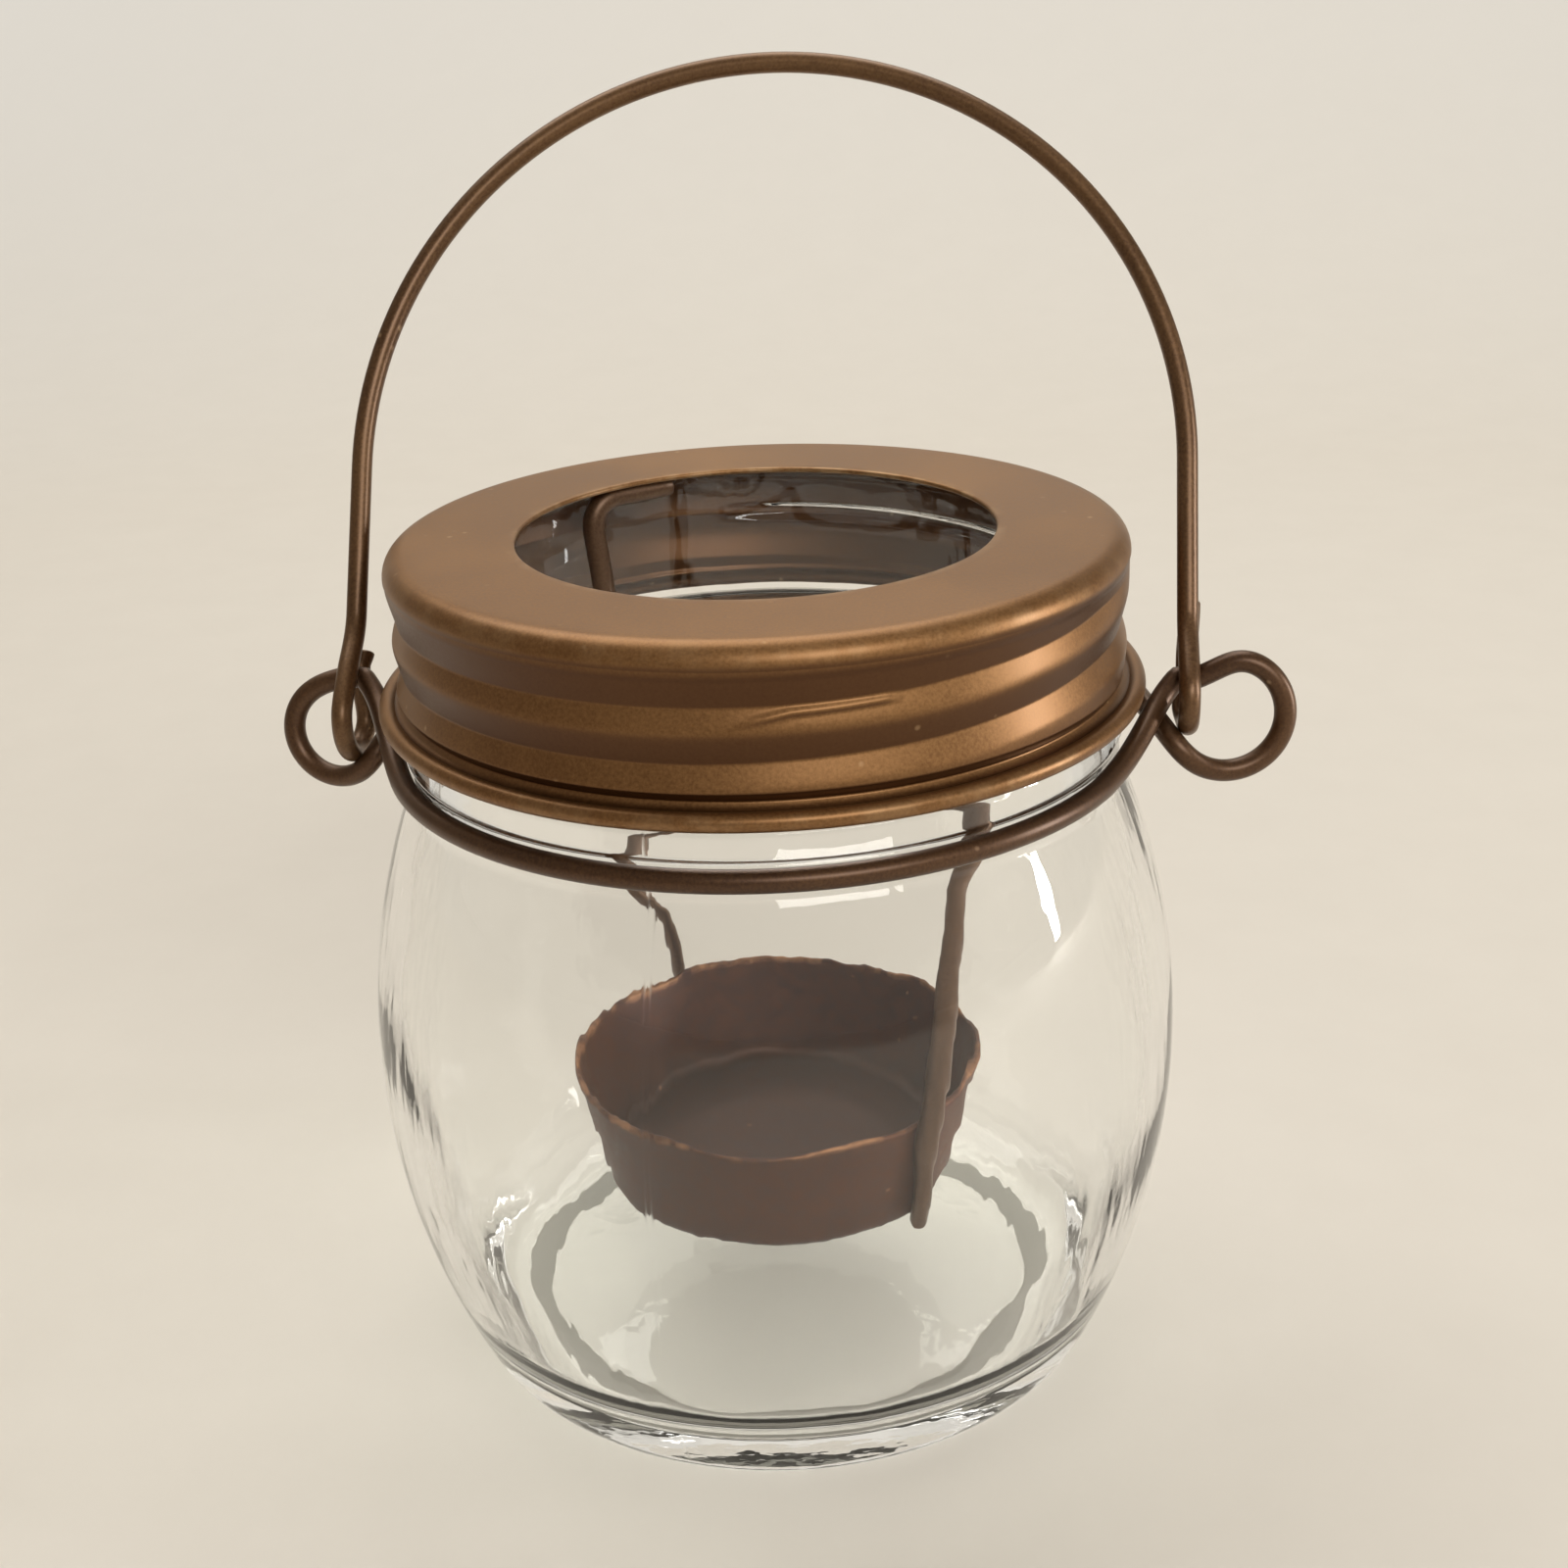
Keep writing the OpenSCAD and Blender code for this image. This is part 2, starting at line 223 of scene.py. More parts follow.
def mark_paint(obj: bpy.types.Object,
               rule: Callable[[bpy.types.MeshVertex, float, float], Point]) -> None:
    """Stores at each point how much painted shade it gets and how rubbed it is, for the paint to
    read.

    Args:
        obj: The piece.
        rule: Gives both numbers from a vertex and its radius and height in millimetres.
    """
    marks = [rule(v, math.hypot(v.co.x, v.co.y) / MM, v.co.z / MM) for v in obj.data.vertices]
    # The first attribute is the painted-shade mask.
    for name, values in zip(("painted_shade", "edge"), zip(*marks)):
        attribute = obj.data.attributes.new(name, "FLOAT", "POINT")
        attribute.data.foreach_set("value", values)


def skin(rings: list[list[int]], closed: bool) -> list[list[int]]:
    """Faces between neighbouring rings of points.

    Args:
        rings: Numbers of the points of each ring. A ring that is one point holds it many times.
        closed: Whether the last ring joins the first.

    Returns:
        The faces, without the empty ones at single points.
    """
    faces = []
    for low, high in zip(rings, rings[1:] + (rings[:1] if closed else [])):
        for k, (first, last) in enumerate(zip(low, high)):
            after = (k + 1) % len(low)
            corners = [first, low[after], high[after], last]
            face = [c for i, c in enumerate(corners) if c != corners[i - 1]]
            if len(face) > 2:
                faces.append(face)
    return faces


def turned_surface(name: str, profile: Profile, segments: int,
                   shape: Shape | None = None) -> bpy.types.Object:
    """Skin of a turned piece whose profile runs from axis to axis, or closes on itself.

    Args:
        name: Name of the piece.
        profile: Radius and height of each point, in millimetres.
        segments: Number of stretches round the axis.
        shape: Gives the radius and height of a profile point at an angle, where it isn't round.

    Returns:
        The object.
    """
    on_axis = 1e-6
    turns = [2.0 * math.pi * step / segments for step in range(segments)]
    verts: list[Sequence[float]] = []
    rings: list[list[int]] = []
    for index, (radius, height) in enumerate(profile):
        first = len(verts)
        if radius < on_axis:
            verts.append((0.0, 0.0, height))
            rings.append([first] * segments)
            continue
        for turn in turns:
            r, z = shape(index, math.degrees(turn)) if shape else (radius, height)
            verts.append((r * math.cos(turn), r * math.sin(turn), z))
        rings.append(list(range(first, len(verts))))
    return new_object(name, verts, skin(rings, profile[0][0] > on_axis))


@dataclass
class RoundWire:
    """Drawn wire bent along a path."""

    name: str
    path: Path
    diameter: float
    closed: bool = False
    sides: int = 28
    chamfer: float = 0.28

    def headings(self) -> Path:
        """Finds where the wire goes.

        Returns:
            Direction of the wire at each point of its path.
        """
        path = self.path
        after, before = (path[0], path[-1]) if self.closed else (path[-1], path[0])
        return [(a - b).normalized() for a, b in zip(path[1:] + [after], [before] + path[:-1])]

    def build(self) -> bpy.types.Object:
        """Sweeps the round section along the path.

        Returns:
            The wire, with its cut ends lightly rounded where it is open.
        """
        headings, sides = self.headings(), []
        side = Vector((0.0, 0.0, 1.0))
        if abs(side.dot(headings[0])) > 0.9:
            side = Vector((1.0, 0.0, 0.0))
        for heading in headings:
            side = (side - heading * side.dot(heading)).normalized()
            sides.append(side)
        if self.closed:
            self.untwist(headings, sides)
        stations = [(p, h, s, self.diameter / 2.0) for p, h, s in zip(self.path, headings, sides)]
        if not self.closed:
            stations = self.rounded_ends(stations)
        turns = [2.0 * math.pi * k / self.sides for k in range(self.sides)]
        verts: Path = []
        for point, heading, across, r in stations:
            up = heading.cross(across)
            verts += [point + across * (r * math.cos(a)) + up * (r * math.sin(a)) for a in turns]
        rings = [list(range(i, i + self.sides)) for i in range(0, len(verts), self.sides)]
        caps = [] if self.closed else [rings[0][::-1], rings[-1]]
        return new_object(self.name, verts, skin(rings, self.closed) + caps)

    def untwist(self, headings: Path, sides: Path) -> None:
        """Spreads the leftover twist of a closed wire along its length.

        Args:
            headings: Direction of the wire at each point.
            sides: Direction across the wire at each point, which is changed.
        """
        first, last = sides[0], sides[-1]
        carried = (last - headings[0] * last.dot(headings[0])).normalized()
        angle = math.atan2(headings[0].dot(carried.cross(first)), carried.dot(first))
        for i, heading in enumerate(headings):
            sides[i] = Matrix.Rotation(angle * i / len(sides), 3, heading) @ sides[i]

    def rounded_ends(self, stations: list[Station]) -> list[Station]:
        """Rounds the cut ends a little.

        Args:
            stations: Place, heading, side and radius of each section.

        Returns:
            The same sections, with smaller ones at both ends.
        """
        radius, cut = self.diameter / 2.0, self.chamfer
        steps = [(0.0, radius - cut), (cut * 0.35, radius - cut * 0.3), (cut, radius)]
        first, last = stations[0], stations[-1]
        head = [(first[0] + first[1] * d, first[1], first[2], r) for d, r in steps]
        tail = [(last[0] - last[1] * d, last[1], last[2], r) for d, r in reversed(steps)]
        return head + stations[1:-1] + tail


def mount(obj: bpy.types.Object, body: Body, slot: Slot, node: str,
          material: bpy.types.Material) -> None:
    """Dresses a piece, ties it to its body and lets it stand for its solid.

    Args:
        obj: The piece.
        body: The rigid body it rides on.
        slot: The record's slot for its finish, which is not used.
        node: The solid that it replaces.
        material: Its finish.
    """
    obj.data.materials.append(material)
    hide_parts(node)
    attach(obj, body.value)
    LOG.info("%s: %d points, rides on %s", obj.name, len(obj.data.vertices), body.value)


# ---------- finishes ----------


class NodeSheet:
    """Short ways to add and join nodes in one node tree."""

    def __init__(self, tree: bpy.types.NodeTree) -> None:
        """Keeps the tree that nodes are added to."""
        self.tree = tree

    def add(self, kind: str, **settings: object) -> bpy.types.Node:
        """Adds a node.

        Args:
            kind: Kind of the node.
            **settings: Its properties.

        Returns:
            The node.
        """
        node = self.tree.nodes.new(kind)
        for key, value in settings.items():
            setattr(node, key, value)
        return node

    def feed(self, node: bpy.types.Node, values: dict[str | int, object]) -> None:
        """Sets inputs of a node to plain values, or joins them to outputs.

        Args:
            node: The node.
            values: A number, a colour, a vector or an output, by the name or number of the input.
        """
        for key, value in values.items():
            socket = node.inputs[key]
            if isinstance(value, bpy.types.NodeSocket):
                self.tree.links.new(value, socket)
            else:
                socket.default_value = (*value, 1.0) if socket.type == "RGBA" else value

    def place(self) -> object:
        """Place on the piece, in metres."""
        return self.add("ShaderNodeTexCoord").outputs["Object"]

    def noise(self, place: object, scale: object, detail: float, roughness: float = 0.5) -> object:
        """Adds a noise.

        Args:
            place: Where it is read.
            scale: Its scale.
            detail: Number of finer layers.
            roughness: Strength of the finer layers.

        Returns:
            Its value.
        """
        node = self.add("ShaderNodeTexNoise")
        self.feed(node, {"Vector": place, "Scale": scale, "Detail": detail, "Roughness": roughness})
        return node.outputs["Fac"]

    def remap(self, value: object, low: float, high: float, to_low: object = 0.0,
              to_high: object = 1.0) -> object:
        """Stretches a value from one range to another.

        Args:
            value: The value.
            low: Start of its range.
            high: End of its range.
            to_low: What it becomes at and before the start.
            to_high: What it becomes at and after the end.

        Returns:
            The new value.
        """
        node = self.add("ShaderNodeMapRange")
        self.feed(node, {"Value": value, "From Min": low, "From Max": high, "To Min": to_low,
                         "To Max": to_high})
        return node.outputs["Result"]

    def blend(self, factor: object, first: object, second: object) -> object:
        """Mixes two colours.

        Args:
            factor: Share of the second.
            first: First colour.
            second: Second colour.

        Returns:
            The mixed colour.
        """
        node = self.add("ShaderNodeMix", data_type="RGBA")
        self.feed(node, {0: factor, 6: first, 7: second})
        return node.outputs[2]

    def calc(self, operation: str, first: object, second: object = 0.0) -> object:
        """Adds a math node.

        Args:
            operation: What it does.
            first: First value.
            second: Second value.

        Returns:
            What it makes of them.
        """
        node = self.add("ShaderNodeMath", operation=operation)
        self.feed(node, {0: first, 1: second})
        return node.outputs[0]

    def times(self, first: object, second: object) -> object:
        """A product."""
        return self.calc("MULTIPLY", first, second)

    def plus(self, first: object, second: object) -> object:
        """A sum."""
        return self.calc("ADD", first, second)

    def vector(self, operation: str, first: object,
               second: object = (0.0, 0.0, 0.0)) -> bpy.types.Node:
        """Adds a vector math node.

        Args:
            operation: What it does.
            first: First vector.
            second: Second vector.

        Returns:
            The node.
        """
        node = self.add("ShaderNodeVectorMath", operation=operation)
        self.feed(node, {0: first, 1: second})
        return node

    def seen_straight(self) -> object:
        """1 for rays from the camera and rays that came through glass."""
        rays = self.add("ShaderNodeLightPath").outputs
        return self.calc("MAXIMUM", rays["Is Camera Ray"], rays["Is Transmission Ray"])

    def crossfade(self, factor: object, first: object, second: object) -> object:
        """Mixes two shaders.

        Args:
            factor: Share of the second.
            first: First shader.
            second: Second shader.

        Returns:
            The mixed shader.
        """
        node = self.add("ShaderNodeMixShader")
        self.feed(node, {0: factor, 1: first, 2: second})
        return node.outputs["Shader"]


class GroupSheet(NodeSheet):
    """The nodes of a shader node group that several finishes can share."""

    def __init__(self, name: str, inputs: dict[str, str], outputs: dict[str, str]) -> None:
        """Makes the group.

        Args:
            name: Name of the group.
            inputs: Kind of each named input.
            outputs: Kind of each named output.
        """
        super().__init__(bpy.data.node_groups.new(name, "ShaderNodeTree"))
        for way, sockets in (("INPUT", inputs), ("OUTPUT", outputs)):
            for label, kind in sockets.items():
                self.tree.interface.new_socket(name=label, in_out=way, socket_type=kind)
        self.given = self.add("NodeGroupInput").outputs
        self.result = self.add("NodeGroupOutput")


class FinishSheet(NodeSheet):
    """The nodes of a new material, round its Principled shader."""

    def __init__(self, name: str) -> None:
        """Makes the material.

        Args:
            name: Name of the material.
        """
        self.material = bpy.data.materials.new(name)
        self.material.use_nodes = True
        super().__init__(self.material.node_tree)
        self.shader = self.tree.nodes["Principled BSDF"]

    def bump(self, height: object, strength: float, distance_mm: float) -> None:
        """Gives the surface a fine relief.

        Args:
            height: Height over the surface.
            strength: Share of it that is kept.
            distance_mm: Rise where the height is one.
        """
        node = self.add("ShaderNodeBump")
        self.feed(node, {"Strength": strength, "Distance": distance_mm * MM, "Height": height})
        self.feed(self.shader, {"Normal": node.outputs["Normal"]})

    def swap(self, factor: object, other: object) -> None:
        """Puts another shader in the place of the Principled one, as far as a factor says."""
        mixed = self.crossfade(factor, self.shader.outputs["BSDF"], other)
        self.feed(self.tree.nodes["Material Output"], {"Surface": mixed})


FLOAT = "NodeSocketFloat"
COLOR = "NodeSocketColor"
VECTOR = "NodeSocketVector"


def sprayed_paint_group() -> bpy.types.NodeTree:
    """Sprayed metallic paint: drifts of tone, fine flake, pinholes, painted shade where the mesh is
    marked, rubbed edges.

    Returns:
        A group that gives the colour, the roughness and the height of the paint.
    """
    peel_scale, pit_scale, rare_scale, wear_scale = 900.0, 420.0, 160.0, 240.0
    flake_relief, peel_relief, pit_relief, pit_strength = 0.35, 0.5, 0.6, 0.7
    sheet = GroupSheet("sprayed_paint",
                       {"Deep": COLOR, "Light": COLOR, "Painted_Shade Color": COLOR, "Rubbed": COLOR,
                        "Drift Scale": FLOAT, "Flake Scale": FLOAT, "Smooth": FLOAT, "Dull": FLOAT,
                        "Painted_Shade": FLOAT, "Edge": FLOAT},
                       {"Color": COLOR, "Roughness": FLOAT, "Height": FLOAT})
    given, place = sheet.given, sheet.place()
    drift = sheet.noise(place, given["Drift Scale"], 3.0, 0.55)
    flake = sheet.noise(place, given["Flake Scale"], 2.0, 0.7)
    orange_peel = sheet.noise(place, peel_scale, 1.0)
    cells = sheet.add("ShaderNodeTexVoronoi", feature="F1")
    sheet.feed(cells, {"Vector": place, "Scale": pit_scale})
    rare = sheet.remap(sheet.noise(place, rare_scale, 0.0), 0.62, 0.70)
    pit = sheet.times(sheet.remap(cells.outputs["Distance"], 0.06, 0.16, 1.0, 0.0), rare)
    uneven = sheet.plus(sheet.times(drift, 0.5), sheet.times(flake, 0.5))
    color = sheet.blend(sheet.remap(uneven, 0.36, 0.64), given["Deep"], given["Light"])
    # Painted shade: the colour turns towards a dark shade colour as far as the mesh's mark says.
    color = sheet.blend(given["Painted_Shade"], color, given["Painted_Shade Color"])
    patchy = sheet.remap(sheet.noise(place, wear_scale, 3.0, 0.65), 0.45, 0.62)
    color = sheet.blend(sheet.times(given["Edge"], patchy), color, given["Rubbed"])
    color = sheet.blend(sheet.times(pit, pit_strength), color, given["Rubbed"])
    relief = sheet.plus(sheet.times(flake, flake_relief), sheet.times(orange_peel, peel_relief))
    sheet.feed(sheet.result, {
        "Color": color,
        "Roughness": sheet.remap(uneven, 0.35, 0.65, given["Smooth"], given["Dull"]),
        "Height": sheet.calc("SUBTRACT", relief, sheet.times(pit, pit_relief))})
    return sheet.tree


def pressed_glass_group() -> bpy.types.NodeTree:
    """Skin of pressed glass: slow waves, upright chill marks, fine peel, mould seams, faint smears.

    Returns:
        A group that gives the height of the ripple, and the roughness of the smears and the seams.
    """
    peel_scale, smear_scale, touch_scale, tall = 1100.0, 70.0, 26.0, (1.0, 1.0, 0.25)
    chill_height, peel_height, seam_height, seam_dull = 0.27, 0.006, 0.012, 0.12
    seam_core_m, seam_edge_m, floor_m, wall_m = 0.00005, 0.00026, 0.0345, 0.0355
    sheet = GroupSheet("pressed_glass",
                       {"Wave Scale": FLOAT, "Chill Scale": FLOAT, "Haze": FLOAT,
                        "Seam Normal": VECTOR},
                       {"Height": FLOAT, "Roughness": FLOAT})
    given, place = sheet.given, sheet.place()
    mapping = sheet.add("ShaderNodeMapping")
    sheet.feed(mapping, {"Vector": place, "Scale": tall})
    upright = mapping.outputs["Vector"]
    chill = sheet.noise(upright, given["Chill Scale"], 2.0, 0.5)
    waves = sheet.noise(place, given["Wave Scale"], 1.0, 0.4)
    height = sheet.plus(waves, sheet.times(chill, chill_height))
    height = sheet.plus(height, sheet.times(sheet.noise(place, peel_scale, 1.0), peel_height))
    across = sheet.vector("DOT_PRODUCT", place, given["Seam Normal"]).outputs["Value"]
    flat = sheet.vector("MULTIPLY", place, (1.0, 1.0, 0.0)).outputs["Vector"]
    far = sheet.vector("LENGTH", flat).outputs["Value"]
    line = sheet.remap(sheet.calc("ABSOLUTE", across), seam_core_m, seam_edge_m, 1.0, 0.0)
    ridge = sheet.times(line, sheet.remap(far, floor_m, wall_m))
    smears = sheet.remap(sheet.noise(upright, smear_scale, 4.0, 0.65), 0.42, 0.68)
    touched = sheet.remap(sheet.noise(place, touch_scale, 1.0), 0.48, 0.68)
    haze = sheet.times(sheet.times(smears, touched), given["Haze"])
    sheet.feed(sheet.result, {"Height": sheet.plus(height, sheet.times(ridge, seam_height)),
                              "Roughness": sheet.plus(haze, sheet.times(ridge, seam_dull))})
    return sheet.tree


@dataclass(frozen=True)
class BronzePaint:
    """Sprayed bronze or copper paint on steel."""

    name: str
    deep: Color
    light: Color
    # Colour of the painted shade on marked faces.
    painted_shade: Color
    rubbed: Color
    smooth: float = 0.36
    dull: float = 0.50
    metallic: float = 0.8
    coat: float = 0.25
    coat_roughness: float = 0.32
    drift_scale: float = 38.0
    flake_scale: float = 3200.0
    relief_mm: float = 0.022
    relief_strength: float = 0.6

    def build(self, paint: bpy.types.NodeTree) -> bpy.types.Material:
        """Makes the material.

        Args:
            paint: The shared group for sprayed paint.

        Returns:
            A material that reads the mesh's painted shade and edge attributes.
        """
        sheet = FinishSheet(self.name)
        group = sheet.add("ShaderNodeGroup", node_tree=paint)
        # Reads the painted-shade mask and the rubbed-edge mask from the mesh.
        for label in ("Painted_Shade", "Edge"):
            mark = sheet.add("ShaderNodeAttribute", attribute_name=label.lower())
            sheet.feed(group, {label: mark.outputs["Fac"]})
        sheet.feed(group, {"Deep": self.deep, "Light": self.light, "Painted_Shade Color": self.painted_shade,
                           "Rubbed": self.rubbed, "Drift Scale": self.drift_scale,
                           "Flake Scale": self.flake_scale, "Smooth": self.smooth,
                           "Dull": self.dull})
        sheet.feed(sheet.shader, {"Metallic": self.metallic, "Coat Weight": self.coat,
                                  "Coat Roughness": self.coat_roughness,
                                  "Base Color": group.outputs["Color"],
                                  "Roughness": group.outputs["Roughness"]})
        sheet.bump(group.outputs["Height"], self.relief_strength, self.relief_mm)
        return sheet.material


@dataclass(frozen=True)
class JarGlass:
    """Clear pressed glass with a faint tint."""

    name: str = "pressed_glass"
    tint: Color = (0.984, 0.988, 0.982)
    shade: Color = (0.85, 0.858, 0.845)
    ior: float = 1.5
    wave_scale: float = 55.0
    chill_scale: float = 260.0
    haze: float = 0.05
    relief_mm: float = 0.2
    seam_angle: float = -100.0

    def build(self, ripple: bpy.types.NodeTree) -> bpy.types.Material:
        """Makes the material, which lets the lamps shine through it on what the jar holds.

        Args:
            ripple: The shared group for pressed glass.

        Returns:
            The material, with a faint shadow in place of a dark one.
        """
        sheet = FinishSheet(self.name)
        group = sheet.add("ShaderNodeGroup", node_tree=ripple)
        sheet.feed(group, {"Wave Scale": self.wave_scale, "Chill Scale": self.chill_scale,
                           "Haze": self.haze, "Seam Normal": tangent(self.seam_angle)})
        sheet.feed(sheet.shader, {"Base Color": self.tint, "Metallic": 0.0, "IOR": self.ior,
                                  "Transmission Weight": 1.0,
                                  "Roughness": group.outputs["Roughness"]})
        sheet.bump(group.outputs["Height"], 1.0, self.relief_mm)
        clear = sheet.add("ShaderNodeBsdfTransparent")
        sheet.feed(clear, {"Color": self.shade})
        rays = sheet.add("ShaderNodeLightPath")
        sheet.swap(rays.outputs["Is Shadow Ray"], clear.outputs["BSDF"])
        return sheet.material


@dataclass(frozen=True)
class StudioPaper:
    """Matt pale paper of the floor and backdrop. Far from the object it melts into the air."""

    name: str = "studio_paper"
    low: Color = (0.70, 0.665, 0.605)
    high: Color = (0.74, 0.705, 0.645)
    roughness: float = 0.85
    tooth_scale: float = 60.0
    melt_from_m: float = 0.42
    melt_to_m: float = 1.0

    def build(self) -> bpy.types.Material:
        """Makes the material.

        Returns:
            The material.
        """
        sheet = FinishSheet(self.name)
        place = sheet.place()
        color = sheet.blend(sheet.noise(place, self.tooth_scale, 4.0, 0.6), self.low, self.high)
        sheet.feed(sheet.shader, {"Base Color": color, "Roughness": self.roughness})
        away = sheet.vector("LENGTH", place).outputs["Value"]
        air = sheet.add("ShaderNodeEmission")
        sheet.feed(air, {"Color": STUDIO_AIR})
        melt = sheet.remap(away, self.melt_from_m, self.melt_to_m)
        sheet.swap(sheet.times(melt, sheet.seen_straight()), air.outputs["Emission"])
        sheet.material.cycles.emission_sampling = "NONE"
        return sheet.material


# ---------- sub-assemblies ----------


@dataclass
class GlassJar:
    """Bellied jar of pressed glass with a standing ring, a bead and a screw finish. Sizes in mm."""

    height: float = box_top("glass_jar")
    belly_r: float = 43.8
    belly_z: float = 36.485
    belly_curve: float = 78.07
    wall: float = 2.6
    base_t: float = 6.0
    heel_r: float = 6.0
    floor_round: float = 9.0
    floor_rise: float = 0.5
    punt_rise: float = 1.8
    ring_w: float = 4.5
    neck_r: float = 37.35
    neck_z: float = 68.58
    bead_r: float = 37.75
    bead_z: float = 71.45
    shoulder_r: float = 5.0
    finish_h: float = 16.5
    finish_r: float = 35.6
    lip_r: float = 1.3
    mouth_r: float = 32.0
    mouth_round: float = 1.0
    thread_row: float = 0.3
    thread_pitch: float = 5.08
    thread_rise: float = 0.7
    thread_turns: float = 1.3
    thread_drop: float = 3.2
    thread_soft: float = 0.06
    thread_flank: Point = (0.35, 1.15)
    seam_clear: Point = (2.0, 7.0)
    seam_rise: float = 0.01
    seam_half: float = 0.8
    body_seam: float = -100.0
    finish_seam: float = -70.0
    waves: tuple[tuple[float, float, float, float], ...] = (
        (0.10, 3.0, 0.085, 0.6), (0.07, 7.0, -0.13, 0.0), (0.05, 2.0, 0.31, 1.9),
        (0.035, 13.0, 0.05, 0.0))
    segments: int = 288

    @property
    def axis(self) -> Point:
        """Centre of the arc of the side."""
        return self.belly_r - self.belly_curve, self.belly_z

    @property
    def finish_z(self) -> float:
        """Height at which the screw finish begins."""
        return self.height - self.finish_h

    def side(self, inset: float, low: float, high: float, steps: int) -> Profile:
        """Side curve of the body.

        Args:
            inset: How far it is moved inwards.
            low: Height of its start.
            high: Height of its end.
            steps: Number of stretches.

        Returns:
            Its points from low to high.
        """
        radius = self.belly_curve - inset
        start, end = (math.degrees(math.asin((z - self.belly_z) / radius)) for z in (low, high))
        return arc(self.axis, radius, start, end, steps)

    def corner(self, inset: float, round_r: float, foot: float) -> Point:
        """Finds the rounding between the side curve and a floor.

        Args:
            inset: How far the side curve is moved inwards.
            round_r: Radius of the rounding.
            foot: Height of the floor.

        Returns:
            Centre of the rounding.
        """
        reach = self.belly_curve - inset - round_r
        drop = foot + round_r - self.belly_z
        return self.axis[0] + math.sqrt(reach**2 - drop**2), foot + round_r

    def outside(self) -> Profile:
        """Draws the outer profile.

        Returns:
            Its points from the middle of the foot up to the rim.
        """
        axis, finish_z = self.axis, self.finish_z
        heel = self.corner(0.0, self.heel_r, 0.0)
        punt_r = heel[0] - self.ring_w
        dome = (punt_r**2 + self.punt_rise**2) / (2.0 * self.punt_rise)
        half = math.degrees(math.asin(punt_r / dome))
        heel_end = direction(axis, heel)
        side_z = axis[1] + self.belly_curve * math.sin(math.radians(heel_end))
        shoulder = (self.neck_r + self.shoulder_r, self.neck_z)
        share = self.belly_curve / math.dist(axis, shoulder)
        join = tuple(a + share * (b - a) for a, b in zip(axis, shoulder))
        rows = int(self.finish_h / self.thread_row)
        neck_z, bead_z, bead_r, lip = self.neck_z, self.bead_z, self.bead_r, self.lip_r
        profile = arc((0.0, self.punt_rise - dome), dome, 90.0, 90.0 - half, 14)
        profile += [(punt_r + 0.5, 0.02), (punt_r + 1.0, 0.0)]
        profile += arc(heel, self.heel_r, -90.0, heel_end, 14)
        profile += self.side(0.0, side_z, join[1], 80)[1:]
        profile += arc(shoulder, self.shoulder_r, direction(shoulder, join), -180.0, 10)[1:]
        profile += [(self.neck_r, z) for z in (neck_z + 0.8, neck_z + 1.6, bead_z - 0.3)]
        profile += arc((bead_r - 0.9, bead_z + 0.9), 0.9, -40.0, 0.0, 5)
        profile += [(bead_r, z) for z in (bead_z + 1.5, bead_z + 2.2, finish_z - 1.4)]
        profile += arc((bead_r - 1.0, finish_z - 1.3), 1.0, 0.0, 80.0, 6)
        profile += [(self.finish_r + 0.25, finish_z - 0.15)]
        profile += [(self.finish_r, finish_z + (self.finish_h - 1.4) * i / rows)
                    for i in range(rows + 1)]
        profile += arc((self.finish_r - lip, self.height - lip), lip, 0.0, 90.0, 7)[1:]
        return profile

    def inside(self) -> Profile:
        """Draws the inner profile.

        Returns:
            Its points from the rim down to the middle of the floor.
        """
        axis, lip, rows = self.axis, self.mouth_round, 22
        corner = self.corner(self.wall, self.floor_round, self.base_t)
        turn = direction(axis, corner)
        low = axis[1] + (self.belly_curve - self.wall) * math.sin(math.radians(turn))
        side = self.side(self.wall, low, self.neck_z - 4.0, 72)[::-1]
        lean = math.radians(direction(axis, side[0]))
        into = Vector((math.sin(lean), -math.cos(lean), 0.0)) * 4.0
        run = cubic(Vector((self.mouth_r, self.finish_z + 2.0, 0.0)), Vector((0.0, -4.0, 0.0)),
                    Vector((*side[0], 0.0)), into, 14)
        rim = self.height - lip
        profile = arc((self.mouth_r + lip, rim), lip, 90.0, 180.0, 6)
        profile += [(self.mouth_r, rim - (self.finish_h - 3.0) * i / rows)
                    for i in range(1, rows + 1)]
        profile += [(p.x, p.y) for p in run] + side
        profile += arc(corner, self.floor_round, turn, -90.0, 16)[1:]
        profile += [(corner[0] * k, self.base_t + self.floor_rise * (1.0 - k * k))
                    for k in (0.8, 0.6, 0.4, 0.2, 0.0)]
        return profile

    def thread(self, angle: float, height: float) -> float:
        """Shape of the glass thread, which is wiped off beside the seam.

        Args:
            angle: Angle round the axis.
            height: Height on the finish.

        Returns:
            How far the thread stands out there.
        """
        top, soft, rise = self.height - self.thread_drop, self.thread_soft, 0.0
        for lap in range(3):
            turn = lap + (angle % 360.0) / 360.0
            if turn > self.thread_turns:
                continue
            ends = smoothstep(0.0, soft, turn) * smoothstep(0.0, soft, self.thread_turns - turn)
            centre = top - self.thread_pitch * (lap - (turn % 1.0))
            rise = max(rise, ends * (1.0 - smoothstep(*self.thread_flank, abs(height - centre))))
        clear = smoothstep(*self.seam_clear, self.from_seam(angle, self.finish_seam))
        return rise * self.thread_rise * clear

    def seam(self, angle: float, place: float) -> float:
        """Rise at an angle of two opposite mould seams, one of them at place."""
        return self.seam_rise * bump_shape(self.from_seam(angle, place), self.seam_half)

    def from_seam(self, angle: float, place: float) -> float:
        """Angle to the nearer of two opposite mould seams, in degrees."""
        return abs((angle - place + 90.0) % 180.0 - 90.0)

